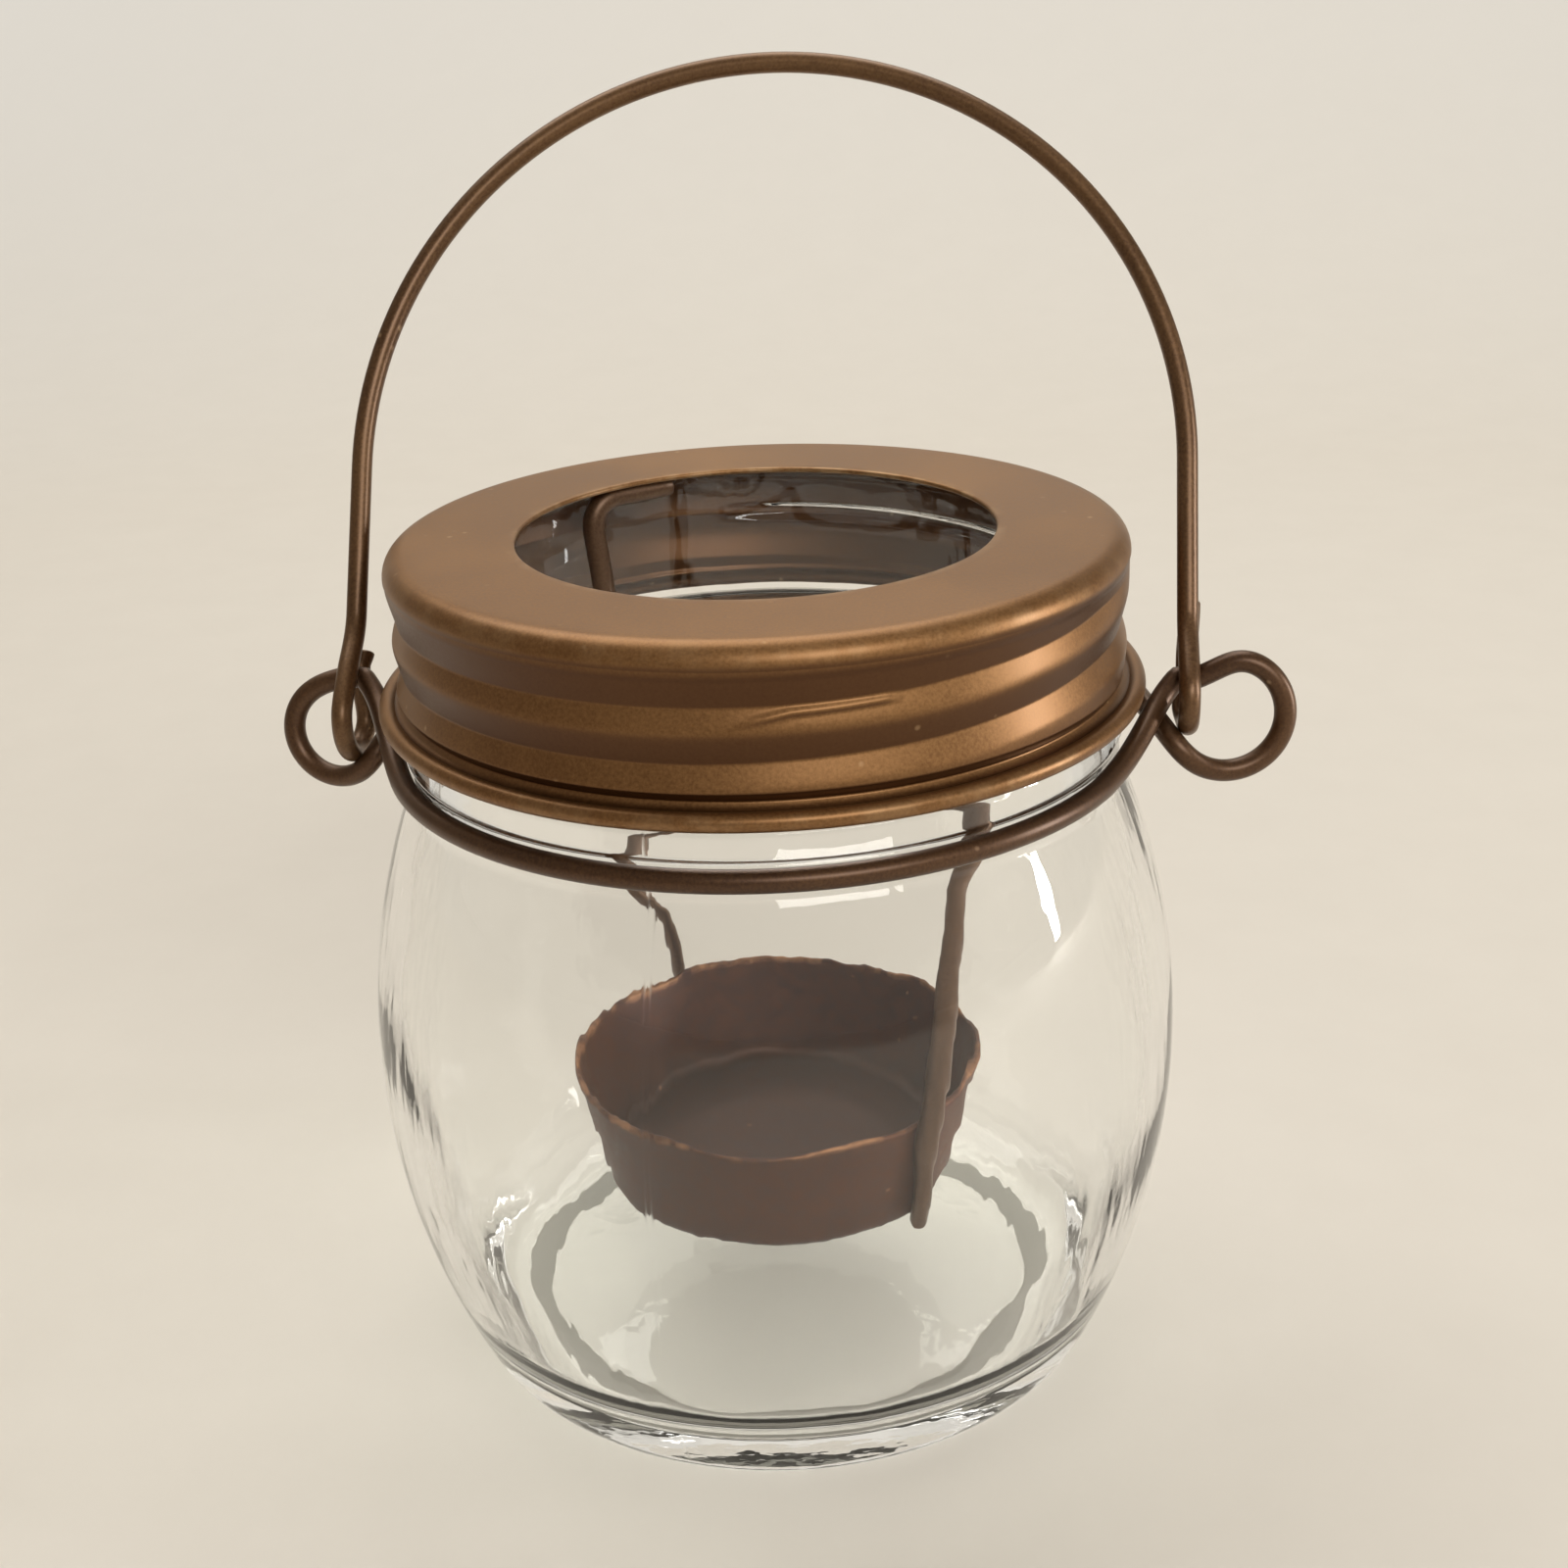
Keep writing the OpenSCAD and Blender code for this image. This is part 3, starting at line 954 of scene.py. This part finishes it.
    def ripple(self, angle: float, height: float) -> float:
        """Slow waves of the inner face, where the glass set unevenly.

        Args:
            angle: Angle round the axis.
            height: Height on the jar.

        Returns:
            How far the face stands out there.
        """
        a = math.radians(angle)
        return sum(rise * math.sin(count * a + height * slope + shift)
                   for rise, count, slope, shift in self.waves)

    def build(self) -> bpy.types.Object:
        """Turns the jar and adds its thread, seams and uneven inner face.

        Returns:
            The jar.
        """
        outer, inner = self.outside(), self.inside()
        profile = outer + inner
        neck_low, neck_high = self.neck_z - 1.0, self.bead_z + 3.4

        def shape(index: int, angle: float) -> Point:
            """Bends the profile.

            Args:
                index: Number of the profile point.
                angle: Angle round the axis.

            Returns:
                Its radius and height there.
            """
            radius, height = profile[index]
            if index < len(outer):
                if height > self.finish_z + 0.6:
                    radius += max(self.thread(angle, height), self.seam(angle, self.finish_seam))
                elif self.heel_r * 0.5 < height and not neck_low < height < neck_high:
                    radius += self.seam(angle, self.body_seam)
            elif radius > self.mouth_r * 0.6:
                calm = smoothstep(self.height - 1.0, self.height - 9.0, height)
                radius -= abs(self.ripple(angle, height)) * calm
            return radius, height

        return turned_surface("glass_body", profile, self.segments, shape)


class Face(Enum):
    """The faces of the stamped lid."""

    PLAIN = 0
    OUTER = 1
    INNER = 2


@dataclass
class ScrewLid:
    """Open screw lid stamped from sheet, with a rolled thread and a curled edge. Sizes in mm."""

    top: float = box_top("lid")
    foot: float = box_foot("lid")
    drum_r: float = 38.1
    skirt_r: float = 38.0
    opening_r: float = 24.6
    corner_r: float = 2.2
    sheet_t: float = SKIRT_T
    curl_r: float = 0.95
    groove_d: float = 0.85
    drum_h: float = 3.8
    ring_groove: float = 14.9
    ring_depth: float = 0.85
    ring_half: float = 1.05
    slope_in: float = 3.3
    slope_out: float = 2.4
    thread_lead: tuple[Point, ...] = (
        (-390.0, 15.0), (-142.0, 11.6), (-92.0, 11.5), (-57.0, 10.9), (-22.0, 9.6), (218.0, 6.3),
        (270.0, 6.15), (296.0, 5.9), (332.0, 4.9), (360.0, 3.8))
    fade_in: float = 50.0
    fade_out: float = 25.0
    run_out: tuple[Point, ...] = ((-88.0, 7.7), (-79.0, 6.6), (-64.5, 6.25))
    lip_rise: float = 0.22
    lip_half: float = 0.62
    # Strength of the painted shade: on outer faces that turn sideways or downwards, and evenly on
    # the inner faces.
    painted_shade: float = 0.85
    inner_painted_shade: float = 0.95
    corner_rub: float = 0.18
    hole_rub: float = 0.5
    curl_rub: float = 0.22
    rows: int = 98
    segments: int = 360

    def groove(self, offset: float) -> float:
        """Depth of a rolled groove, sharp at its bottom and soft at its crests."""
        left = 1.0 - abs(offset) / (self.slope_in if offset < 0.0 else self.slope_out)
        return 0.5 * (left + math.sqrt(left * left + 0.025))

    def skirt(self, angle: float, depth: float) -> float:
        """Shape of the rolled skirt.

        Args:
            angle: Angle round the axis.
            depth: Depth below the top.

        Returns:
            Its outer radius there.
        """
        begin, end, dip = self.thread_lead[0][0], self.thread_lead[-1][0], 0.0
        for lap in (-2, -1, 0, 1):
            along = self.wrap(angle) + 360.0 * lap
            place = track(self.thread_lead, along)
            if place is not None:
                strength = smoothstep(begin, begin + self.fade_in, along)
                strength *= 1.0 - smoothstep(end - self.fade_out, end, along)
                dip += strength * self.groove(depth - place)
        beside = max(1.0 - abs(depth - self.ring_groove) / self.ring_half, 0.0)
        ring = self.ring_depth * beside**1.2
        calm = smoothstep(self.drum_h - 1.5, self.drum_h - 0.2, depth)
        return (self.skirt_r - self.groove_d * min(max(dip, ring), 1.0) * calm
                + self.lip(self.wrap(angle), depth))

    def lip(self, angle: float, depth: float) -> float:
        """Shape of the thin pinched lip where the rolled thread runs out.

        Args:
            angle: Angle round the axis.
            depth: Depth below the top.

        Returns:
            How far it stands out there.
        """
        place, begin = track(self.run_out, angle), self.run_out[0][0]
        if place is None:
            return 0.0
        start = smoothstep(begin, begin + 6.0, angle)
        return self.lip_rise * start * bump_shape(depth - place, self.lip_half)

    @staticmethod
    def wrap(angle: float) -> float:
        """The same angle between -180 and 180 degrees."""
        return (angle + 180.0) % 360.0 - 180.0

    def profile(self) -> list[tuple[float, float, Face]]:
        """Draws the stamped section.

        Returns:
            Radius, height below the top and face of each point.
        """
        edge, flat, height = self.sheet_t / 2.0, self.drum_r - self.corner_r, self.top - self.foot
        hole, corner = (self.opening_r + edge, -edge), (flat, -self.corner_r)
        curl = (self.skirt_r + self.curl_r, self.curl_r - height)
        start, end = self.corner_r + 0.25, height - 2.0 * self.curl_r - 0.1
        depths = [start + (end - start) * i / self.rows for i in range(self.rows + 1)]
        runs = (
            (Face.PLAIN, arc(hole, edge, 180.0, 90.0, 4)),
            (Face.PLAIN, stretch((hole[0], 0.0), (flat, 0.0), 12)),
            (Face.PLAIN, arc(corner, self.corner_r, 90.0, 0.0, 10)),
            (Face.OUTER, [(self.skirt_r, -d) for d in depths]),
            (Face.PLAIN, arc(curl, self.curl_r, 148.0, -182.0, 22)),
            (Face.INNER, [(self.skirt_r - self.sheet_t, -d) for d in reversed(depths)]),
            (Face.PLAIN, arc(corner, self.corner_r - self.sheet_t, 0.0, 90.0, 8)),
            (Face.PLAIN, stretch((flat, -self.sheet_t), (hole[0], -self.sheet_t), 8)),
            (Face.PLAIN, arc(hole, edge, 270.0, 190.0, 4)))
        return [(r, z, face) for face, run in runs for r, z in run][::-1]

    def marks(self, vert: bpy.types.MeshVertex, radius: float, height: float) -> Point:
        """Where shade is painted on the lid and where it is rubbed.

        Args:
            vert: A point of the lid.
            radius: Its radius.
            height: Its height.

        Returns:
            How much painted shade it gets and how rubbed it is.
        """
        depth = self.top - height
        on_side = smoothstep(0.2, self.corner_r + 0.4, depth) * (radius < self.drum_r + 0.2)
        # Painted shade: inner faces are darkened evenly, outer faces the more the further they turn
        # downwards, as if less light fell on them; only on the side below the top corner.
        inner = vert.normal.x * vert.co.x + vert.normal.y * vert.co.y < 0.0
        shaded = self.inner_painted_shade if inner else 1.0 - smoothstep(-0.32, 0.28, vert.normal.z)
        near_corner = bump_shape(depth - self.corner_r * 0.5, 1.6) * (radius > self.drum_r - 2.0)
        near_hole = bump_shape(radius - self.opening_r, 0.7)
        on_curl = smoothstep(self.skirt_r + 0.9, self.skirt_r + 1.9, radius)
        return shaded * on_side * self.painted_shade, max(
            near_corner * self.corner_rub, near_hole * self.hole_rub, on_curl * self.curl_rub)

    def build(self) -> bpy.types.Object:
        """Makes the lid and marks its painted shade and its edges for the paint.

        Returns:
            The lid.
        """
        points = self.profile()

        def shape(index: int, angle: float) -> Point:
            """Bends the profile.

            Args:
                index: Number of the profile point.
                angle: Angle round the axis.

            Returns:
                Its radius and height there.
            """
            radius, depth, face = points[index]
            if face is not Face.PLAIN:
                radius = self.skirt(angle, -depth) - (self.sheet_t if face is Face.INNER else 0.0)
            return radius, self.top + depth

        profile = [(r, self.top + z) for r, z, _ in points]
        obj = turned_surface("screw_lid", profile, self.segments, shape)
        mark_paint(obj, self.marks)
        return obj


@dataclass(frozen=True)
class Ear:
    """One curled ear of the collar: its bending radius and the place of its curl."""

    radius: float
    distance: float
    rise: float


@dataclass
class Collar:
    """Wire round the neck with a curled ear on each side. Sizes in mm, angles in degrees."""

    pivot: float = PIVOT_Z
    diameter: float = COLLAR_D
    ring_r: float = 38.58
    back_r: float = 38.98
    ring_z: float = 70.38
    step: float = 2.8
    eye_distance: float = 44.2
    level: float = 2.7
    right: Ear = Ear(5.9, 48.5, 2.3)
    left: Ear = Ear(5.1, 46.4, 0.3)
    leave: float = -24.0
    meet: float = 14.0
    curl_start: float = 80.0
    curl_end: float = -146.0
    curl_drift: float = -4.2

    def ear_path(self, ear: Ear) -> Path:
        """Bends one ear on the right-hand side.

        Args:
            ear: Sizes of its curl.

        Returns:
            Its path from the front strand to the back strand.
        """
        steps = 40
        first = polar(self.ring_r, self.leave, self.ring_z)
        last = polar(self.back_r, self.meet, self.ring_z + self.step)
        eye = Vector((self.eye_distance, 0.0, self.pivot))
        half = Vector((self.level / 2.0, 0.0, 0.0))
        curl = []
        for i in range(steps + 1):
            t = i / steps
            a = math.radians(self.curl_start + (self.curl_end - self.curl_start) * t)
            curl.append(Vector((ear.distance + ear.radius * math.cos(a), self.curl_drift * t**1.5,
                                self.ring_z + ear.rise + ear.radius * math.sin(a))))
        top, tail = math.radians(self.curl_start), math.radians(self.curl_end)
        into = Vector((math.sin(top), 0.0, -math.cos(top)))
        out = Vector((math.sin(tail), -0.1, -math.cos(tail))).normalized()
        rising = Vector((1.69, 0.494, 1.898))
        path = [first] + cubic(first, tangent(self.leave) * 9.0, eye - half, rising, 22)
        path += [eye - half, eye, eye + half]
        path += cubic(eye + half, Vector((1.3, 0.0, 0.0)), curl[0], into * 1.3, 10) + curl
        home = tangent(self.meet) * 5.0
        return self.relaxed(path + cubic(curl[-1], out * 3.4, last, home, 20) + [last], eye)

    def relaxed(self, path: Path, eye: Vector) -> Path:
        """The same bends as springy wire takes them, with the level stretch in the bail's eye kept.

        Args:
            path: Path of an ear.
            eye: Centre of the level stretch.

        Returns:
            The path in even steps, without sharp corners.
        """
        spacing, passes, hold = 0.3, 70, 1.15
        points = [path[0]]
        left = spacing
        for a, b in zip(path, path[1:]):
            length = (b - a).length
            along = left
            while along < length:
                points.append(a + (b - a) * (along / length))
                along += spacing
            left = along - length
        points.append(path[-1])
        free = [0 < i < len(points) - 1
                and (abs(p.x - eye.x) > hold or (p - eye).length > 2.0 * hold)
                for i, p in enumerate(points)]
        for _ in range(passes):
            points = [(points[i - 1] + p * 2.0 + points[i + 1]) / 4.0 if free[i] else p
                      for i, p in enumerate(points)]
        return points

    def path(self) -> Path:
        """Bends the whole closed wire.

        Returns:
            Its path: front strand, right ear, back strand, left ear.
        """
        front = [polar(self.ring_r, a, self.ring_z)
                 for a in self.spread(-180.0 - self.leave, self.leave, 60)]
        back = [polar(self.back_r, a, self.ring_z + self.step)
                for a in self.spread(self.meet, 180.0 - self.meet, 68)]
        left = [Vector((-p.x, p.y, p.z)) for p in reversed(self.ear_path(self.left))]
        return front + self.ear_path(self.right) + back + left

    @staticmethod
    def spread(low: float, high: float, steps: int) -> list[float]:
        """Numbers strictly between two ends."""
        return [low + (high - low) * i / steps for i in range(1, steps)]

    def build(self) -> bpy.types.Object:
        """Bends the wire."""
        return RoundWire("collar_wire", self.path(), self.diameter, closed=True).build()


@dataclass(frozen=True)
class Eye:
    """One eye of the bail: its width, drop below the pivot, cut end's height, and outward leans."""

    width: float
    drop: float
    end: float
    low_out: float
    end_out: float


@dataclass
class Bail:
    """Wire carrying handle with an eye at each foot. Sizes in mm, angles in degrees."""

    pivot: float = PIVOT_Z
    diameter: float = 2.2
    half: float = 44.2
    leg: float = 23.1
    lean: float = 28.0
    collar_d: float = COLLAR_D
    seat_tilt: float = 25.0
    seat_gap: float = 0.06
    pass_gap: float = 0.12
    right: Eye = Eye(6.2, 4.9, 8.4, -0.35, 0.4)
    left: Eye = Eye(7.6, 8.0, 3.2, -0.35, -0.3)

    def eye_path(self, eye: Eye) -> Path:
        """Bends one foot of the bail.

        Args:
            eye: Sizes of its eye.

        Returns:
            Its path from the arch to its cut end, as depth and height in its own plane.
        """
        r = eye.width / 2.0
        centre = (0.0, -eye.drop + r)
        tilt = math.radians(self.seat_tilt)
        reach = (self.collar_d + self.diameter) / 2.0 + self.seat_gap
        seat = Vector((reach * math.cos(tilt), reach * math.sin(tilt), 0.0))
        down = Vector((-math.sin(tilt), -math.cos(tilt), 0.0))
        up = Vector((-math.sin(tilt), math.cos(tilt), 0.0))
        front = Vector((-seat.x, seat.y, 0.0))
        back = Vector((self.diameter + self.pass_gap, eye.end, 0.0))
        start = Vector((0.0, 7.0, 0.0))
        left, right = Vector((-r, centre[1], 0.0)), Vector((r, centre[1], 0.0))
        sink = Vector((0.0, -0.4 * reach, 0.0))
        path = [Vector((0.0, self.leg * k, 0.0)) for k in (0.85, 0.7, 0.55, 0.42)] + [start]
        path += cubic(start, Vector((0.0, -reach, 0.0)), front, down * (0.7 * reach), 14) + [front]
        path += cubic(front, down * (0.5 * reach), left, sink, 8)
        path += [Vector((x, z, 0.0)) for x, z in arc(centre, r, 180.0, 360.0, 26)]
        path += cubic(right, -sink, seat, up * (0.5 * reach), 8) + [seat]
        rise = Vector((0.0, 0.3 * (eye.end - seat.y), 0.0))
        return path + cubic(seat, up * (0.35 * reach), back, rise, 12) + [back]

    def sideways(self, eye: Eye, point: Vector) -> float:
        """How far the wire behind the pivot strays outwards.

        Args:
            eye: Sizes of the eye.
            point: Depth and height in the eye's plane.

        Returns:
            The stray from that plane.
        """
        behind = smoothstep(0.0, eye.width / 2.0, point.x)
        low = behind * bump_shape(point.y + eye.drop * 0.5, eye.drop * 0.5)
        high = smoothstep(1.5, eye.end, point.y) * smoothstep(0.8, 1.6, point.x)
        return eye.low_out * low + eye.end_out * high

    def place(self, x: float, depth: float, height: float) -> Vector:
        """Leans a point of the bail's own plane back about the pivot.

        Args:
            x: Distance to the side.
            depth: Depth in the plane.
            height: Height in the plane.

        Returns:
            The point in the shared frame.
        """
        a = math.radians(self.lean)
        return Vector((x, depth * math.cos(a) + height * math.sin(a),
                       self.pivot - depth * math.sin(a) + height * math.cos(a)))

    def build(self) -> bpy.types.Object:
        """Bends the wire from one cut end to the other.

        Returns:
            The wire.
        """
        right = [self.place(self.half + self.sideways(self.right, p), p.x, p.y)
                 for p in self.eye_path(self.right)]
        left = [self.place(-self.half - self.sideways(self.left, p), p.x, p.y)
                for p in self.eye_path(self.left)]
        arch = [self.place(x, 0.0, self.leg + z)
                for x, z in arc((0.0, 0.0), self.half, 0.0, 180.0, 96)]
        return RoundWire("bail_wire", right[::-1] + arch + left, self.diameter).build()


@dataclass
class CupHangers:
    """The two bent wires that hold the candle cup under the lid. Sizes in mm, angles in degrees."""

    lid_top: float = box_top("lid")
    cup_foot: float = box_foot("tealight_cup")
    cup_top: float = box_top("tealight_cup")
    sheet_t: float = SKIRT_T
    diameter: float = 2.5
    weld: float = 0.12
    radius: float = 27.2
    foot: float = 10.5
    foot_turn: float = 10.0
    bend: float = 3.6
    cup_r: float = 22.9
    cup_floor_r: float = 19.8
    twist: float = -11.0
    turns: tuple[tuple[str, float], ...] = (("front", -30.0), ("back", 140.0))

    def path(self) -> Path:
        """Bends the wire.

        Returns:
            Its path from the foot under the lid to the tail beside the cup.
        """
        lean = math.atan((self.cup_r - self.cup_floor_r) / (self.cup_top - self.cup_foot))
        hold = (self.diameter / 2.0 - self.weld) / math.cos(lean)
        corner = polar(self.radius, 0.0,
                       self.lid_top - self.sheet_t - self.diameter / 2.0 + self.weld)
        inwards = math.radians(self.foot_turn)
        along = Vector((math.sin(inwards), math.cos(inwards), 0.0))
        foot = corner - along * self.foot
        rim = polar(self.cup_r + hold, self.twist, self.cup_top)
        tail = polar(self.cup_floor_r + hold, self.twist, self.cup_foot)
        down, last = (rim - corner).normalized(), (tail - rim).normalized()
        start, end = corner - along * self.bend, corner + down * self.bend
        knee_a, knee_b = rim - down * 5.0, rim + last * 4.0
        path = [foot, foot + (start - foot) * 0.2, foot + (start - foot) * 0.6, start]
        path += cubic(start, along * (0.55 * self.bend), end, down * (0.55 * self.bend), 16) + [end]
        path += [end + (knee_a - end) * k / 8.0 for k in range(1, 8)] + [knee_a]
        path += cubic(knee_a, down * 2.5, knee_b, last * 2.0, 12) + [knee_b]
        path += [knee_b + (tail - knee_b) * 0.5, tail]
        return path

    def build(self) -> dict[str, bpy.types.Object]:
        """Bends both wires.

        Returns:
            Each wire under the name of its solid.
        """
        wires = {}
        for side, turn in self.turns:
            rotation = Matrix.Rotation(math.radians(turn), 3, "Z")
            path = [rotation @ p for p in self.path()]
            wires[f"hanger_{side}"] = RoundWire(f"hanger_wire_{side}", path, self.diameter).build()
        return wires


@dataclass
class CandleCup:
    """Small tapered cup pressed from sheet. Sizes in mm."""

    foot: float = box_foot("tealight_cup")
    top: float = box_top("tealight_cup")
    rim_r: float = 22.9
    floor_r: float = 19.8
    sheet_t: float = 0.7
    round_r: float = 2.0
    ring_r: float = 12.0
    ring_rise: float = 0.18
    ring_half: float = 2.2
    # Strength of the painted shade near the floor, inside the cup and outside it.
    inner_painted_shade: float = 0.5
    outer_painted_shade: float = 0.2
    rim_rub: float = 0.8
    segments: int = 192

    def build(self) -> bpy.types.Object:
        """Turns the cup, with a rounded rim and a pressed ring in its floor.

        Returns:
            The cup.
        """
        height, half = self.top - self.foot, self.sheet_t / 2.0
        lean = math.atan((self.rim_r - self.floor_r) / height)
        slope = math.degrees(lean)
        reach = self.floor_r + self.round_r * math.tan(lean) - self.round_r / math.cos(lean)
        centre = (reach, self.round_r)
        high = (self.rim_r - half * (1.0 - math.cos(lean)), height - half)
        profile = [(0.0, 0.0)] + stretch((0.0, 0.0), (reach, 0.0), 6)
        profile += arc(centre, self.round_r, -90.0, -slope, 9)
        profile += stretch(profile[-1], high, 24) + [high]
        profile += arc((high[0] - half, height - half), half, 0.0, 180.0, 8)[1:]
        low = arc(centre, self.round_r - self.sheet_t, -slope, -90.0, 8)
        profile += stretch(profile[-1], low[0], 24) + low
        floor = [reach * k / 12.0 for k in range(11, 0, -1)]
        profile += [(r, self.sheet_t + self.ring_rise * bump_shape(r - self.ring_r, self.ring_half))
                    for r in floor] + [(0.0, self.sheet_t)]
        obj = turned_surface("candle_cup", [(r, self.foot + z) for r, z in profile], self.segments)
        mark_paint(obj, self.marks)
        return obj

    def marks(self, _: bpy.types.MeshVertex, radius: float, height: float) -> Point:
        """Where shade is painted on the cup and where it is rubbed.

        Args:
            _: A point of the cup, which isn't needed.
            radius: Its radius.
            height: Its height.

        Returns:
            How much painted shade it gets and how rubbed it is.
        """
        up, wall = height - self.foot, self.top - self.foot
        inside = radius < self.floor_r and up > self.sheet_t / 2.0
        # Painted shade, darker towards the floor of the cup, stronger inside than outside.
        shaded = self.inner_painted_shade if inside else self.outer_painted_shade
        return (shaded * (1.0 - smoothstep(0.0, 5.0, up)),
                self.rim_rub * smoothstep(wall - 0.9, wall - 0.2, up))


@dataclass(frozen=True)
class Lamp:
    """A soft rectangular lamp that faces the jar. Sizes in mm, power in watts."""

    name: str
    place: Place
    size: tuple[float, float]
    power: float
    tint: Color
    aim: Place = (0.0, 0.0, 60.0)

    def build(self) -> None:
        """Hangs the lamp."""
        data = bpy.data.lights.new(self.name, "AREA")
        data.shape = "RECTANGLE"
        data.size, data.size_y = (length * MM for length in self.size)
        data.energy, data.color = self.power, self.tint
        obj = bpy.data.objects.new(self.name, data)
        obj.location = Vector(self.place) * MM
        towards = Vector(self.aim) * MM - obj.location
        obj.rotation_euler = towards.to_track_quat("-Z", "Y").to_euler()
        bpy.context.scene.collection.objects.link(obj)


@dataclass
class Studio:
    """Plain floor and backdrop, soft lamps and the camera. Sizes in mm, angles in degrees."""

    lamps: tuple[Lamp, ...] = (
        Lamp("sky", (-160.0, 420.0, 900.0), (900.0, 700.0), 5.8, (1.0, 0.985, 0.95)),
        Lamp("front", (430.0, -820.0, 640.0), (620.0, 300.0), 4.8, (1.0, 0.97, 0.92)),
        Lamp("side", (820.0, 20.0, 185.0), (46.0, 330.0), 2.8, (1.0, 0.985, 0.96)))
    warm: Color = (0.80, 0.70, 0.57)
    level: float = 0.36
    focal_px: float = 2196.27
    place: Place = (27.54, -212.37, 151.56)
    yaw: float = -6.89
    pitch: float = 22.25
    roll: float = -2.29

    def sweep(self, paper: bpy.types.Material) -> None:
        """Makes a floor that curves up into a backdrop.

        Args:
            paper: Its material.
        """
        near, back, rise, width, bend = -6000.0, 900.0, 1500.0, 6000.0, 500.0
        line = [(near, 0.0), (-400.0, 0.0), (0.0, 0.0), (back - bend, 0.0)]
        line += arc((back - bend, bend), bend, -90.0, 0.0, 24)[1:] + [(back, rise)]
        verts = [(x, y, z) for y, z in line for x in (-width, width)]
        faces = [[2 * i, 2 * i + 1, 2 * i + 3, 2 * i + 2] for i in range(len(line) - 1)]
        obj = new_object("studio_sweep", verts, faces)
        obj.data.materials.append(paper)

    def world(self) -> None:
        """Even warm light, which camera and glass rays see as a pale wall."""
        world = bpy.data.worlds.new("studio_air")
        bpy.context.scene.world = world
        world.use_nodes = True
        world.node_tree.nodes.clear()
        sheet = NodeSheet(world.node_tree)
        light, seen = sheet.add("ShaderNodeBackground"), sheet.add("ShaderNodeBackground")
        sheet.feed(light, {"Color": self.warm, "Strength": self.level})
        sheet.feed(seen, {"Color": STUDIO_AIR, "Strength": 1.0})
        mixed = sheet.crossfade(sheet.seen_straight(), light.outputs[0], seen.outputs[0])
        sheet.feed(sheet.add("ShaderNodeOutputWorld"), {"Surface": mixed})

    def camera(self) -> None:
        """The camera, placed by its fitted position, angles and focal length."""
        yaw, pitch, roll = (math.radians(v) for v in (self.yaw, self.pitch, self.roll))
        turn = (Matrix.Rotation(-yaw, 4, "Z") @ Matrix.Rotation(math.pi / 2.0 - pitch, 4, "X")
                @ Matrix.Rotation(roll, 4, "Z"))
        data = bpy.data.cameras.new("view")
        data.sensor_fit = "HORIZONTAL"
        data.sensor_width = SENSOR_MM
        data.lens = self.focal_px * SENSOR_MM / IMAGE_SIZE
        data.clip_start = 0.01
        obj = bpy.data.objects.new("view", data)
        obj.matrix_world = Matrix.Translation(Vector(self.place) * MM) @ turn
        bpy.context.scene.collection.objects.link(obj)
        bpy.context.scene.camera = obj

    def build(self) -> None:
        """Sets up everything round the object."""
        self.sweep(StudioPaper().build())
        for lamp in self.lamps:
            lamp.build()
        self.world()
        self.camera()
        bpy.context.scene.view_settings.view_transform = "Standard"


# The third colour of each paint is its painted shade; only the lid and the cup carry marks for it.
LID_PAINT = BronzePaint(
    "copper_bronze_paint", deep=(0.165, 0.074, 0.023), light=(0.285, 0.146, 0.054),
    painted_shade=(0.062, 0.021, 0.005), rubbed=(0.46, 0.30, 0.16), coat=0.18)
WIRE_PAINT = BronzePaint(
    "dark_bronze_wire", deep=(0.058, 0.024, 0.009), light=(0.120, 0.058, 0.023),
    painted_shade=(0.04, 0.017, 0.008), rubbed=(0.40, 0.26, 0.15), metallic=0.7, coat=0.35)
BAIL_PAINT = BronzePaint(
    "bronze_bail_wire", deep=(0.088, 0.040, 0.014), light=(0.19, 0.100, 0.040),
    painted_shade=(0.06, 0.028, 0.014), rubbed=(0.46, 0.31, 0.18), metallic=0.7, coat=0.35)
HANGER_PAINT = BronzePaint(
    "brown_hanger_wire", deep=(0.075, 0.035, 0.016), light=(0.15, 0.083, 0.044),
    painted_shade=(0.05, 0.022, 0.012), rubbed=(0.40, 0.26, 0.15), metallic=0.65)
CUP_PAINT = BronzePaint(
    "brown_cup_paint", deep=(0.040, 0.009, 0.002), light=(0.090, 0.024, 0.004),
    painted_shade=(0.018, 0.005, 0.002), rubbed=(0.30, 0.14, 0.06), metallic=0.5, smooth=0.46,
    dull=0.60, coat=0.05, flake_scale=650.0, relief_mm=0.006)


def main() -> None:
    """Builds the lantern piece by piece, dresses it and sets up the studio."""
    logging.basicConfig(level=logging.INFO, format="%(name)s: %(message)s")
    paint, ripple = sprayed_paint_group(), pressed_glass_group()
    hanger = HANGER_PAINT.build(paint)
    mount(GlassJar().build(), Body.JAR, Slot.GLASS, "glass_jar", JarGlass().build(ripple))
    mount(Collar().build(), Body.JAR, Slot.COLLAR, "collar", WIRE_PAINT.build(paint))
    mount(Bail().build(), Body.BAIL, Slot.BAIL, "bail", BAIL_PAINT.build(paint))
    mount(ScrewLid().build(), Body.LID, Slot.LID, "lid", LID_PAINT.build(paint))
    for node, obj in CupHangers().build().items():
        mount(obj, Body.LID, Slot.HANGER, node, hanger)
    mount(CandleCup().build(), Body.LID, Slot.CUP, "tealight_cup", CUP_PAINT.build(paint))
    Studio().build()


if __name__ == "__main__":
    main()
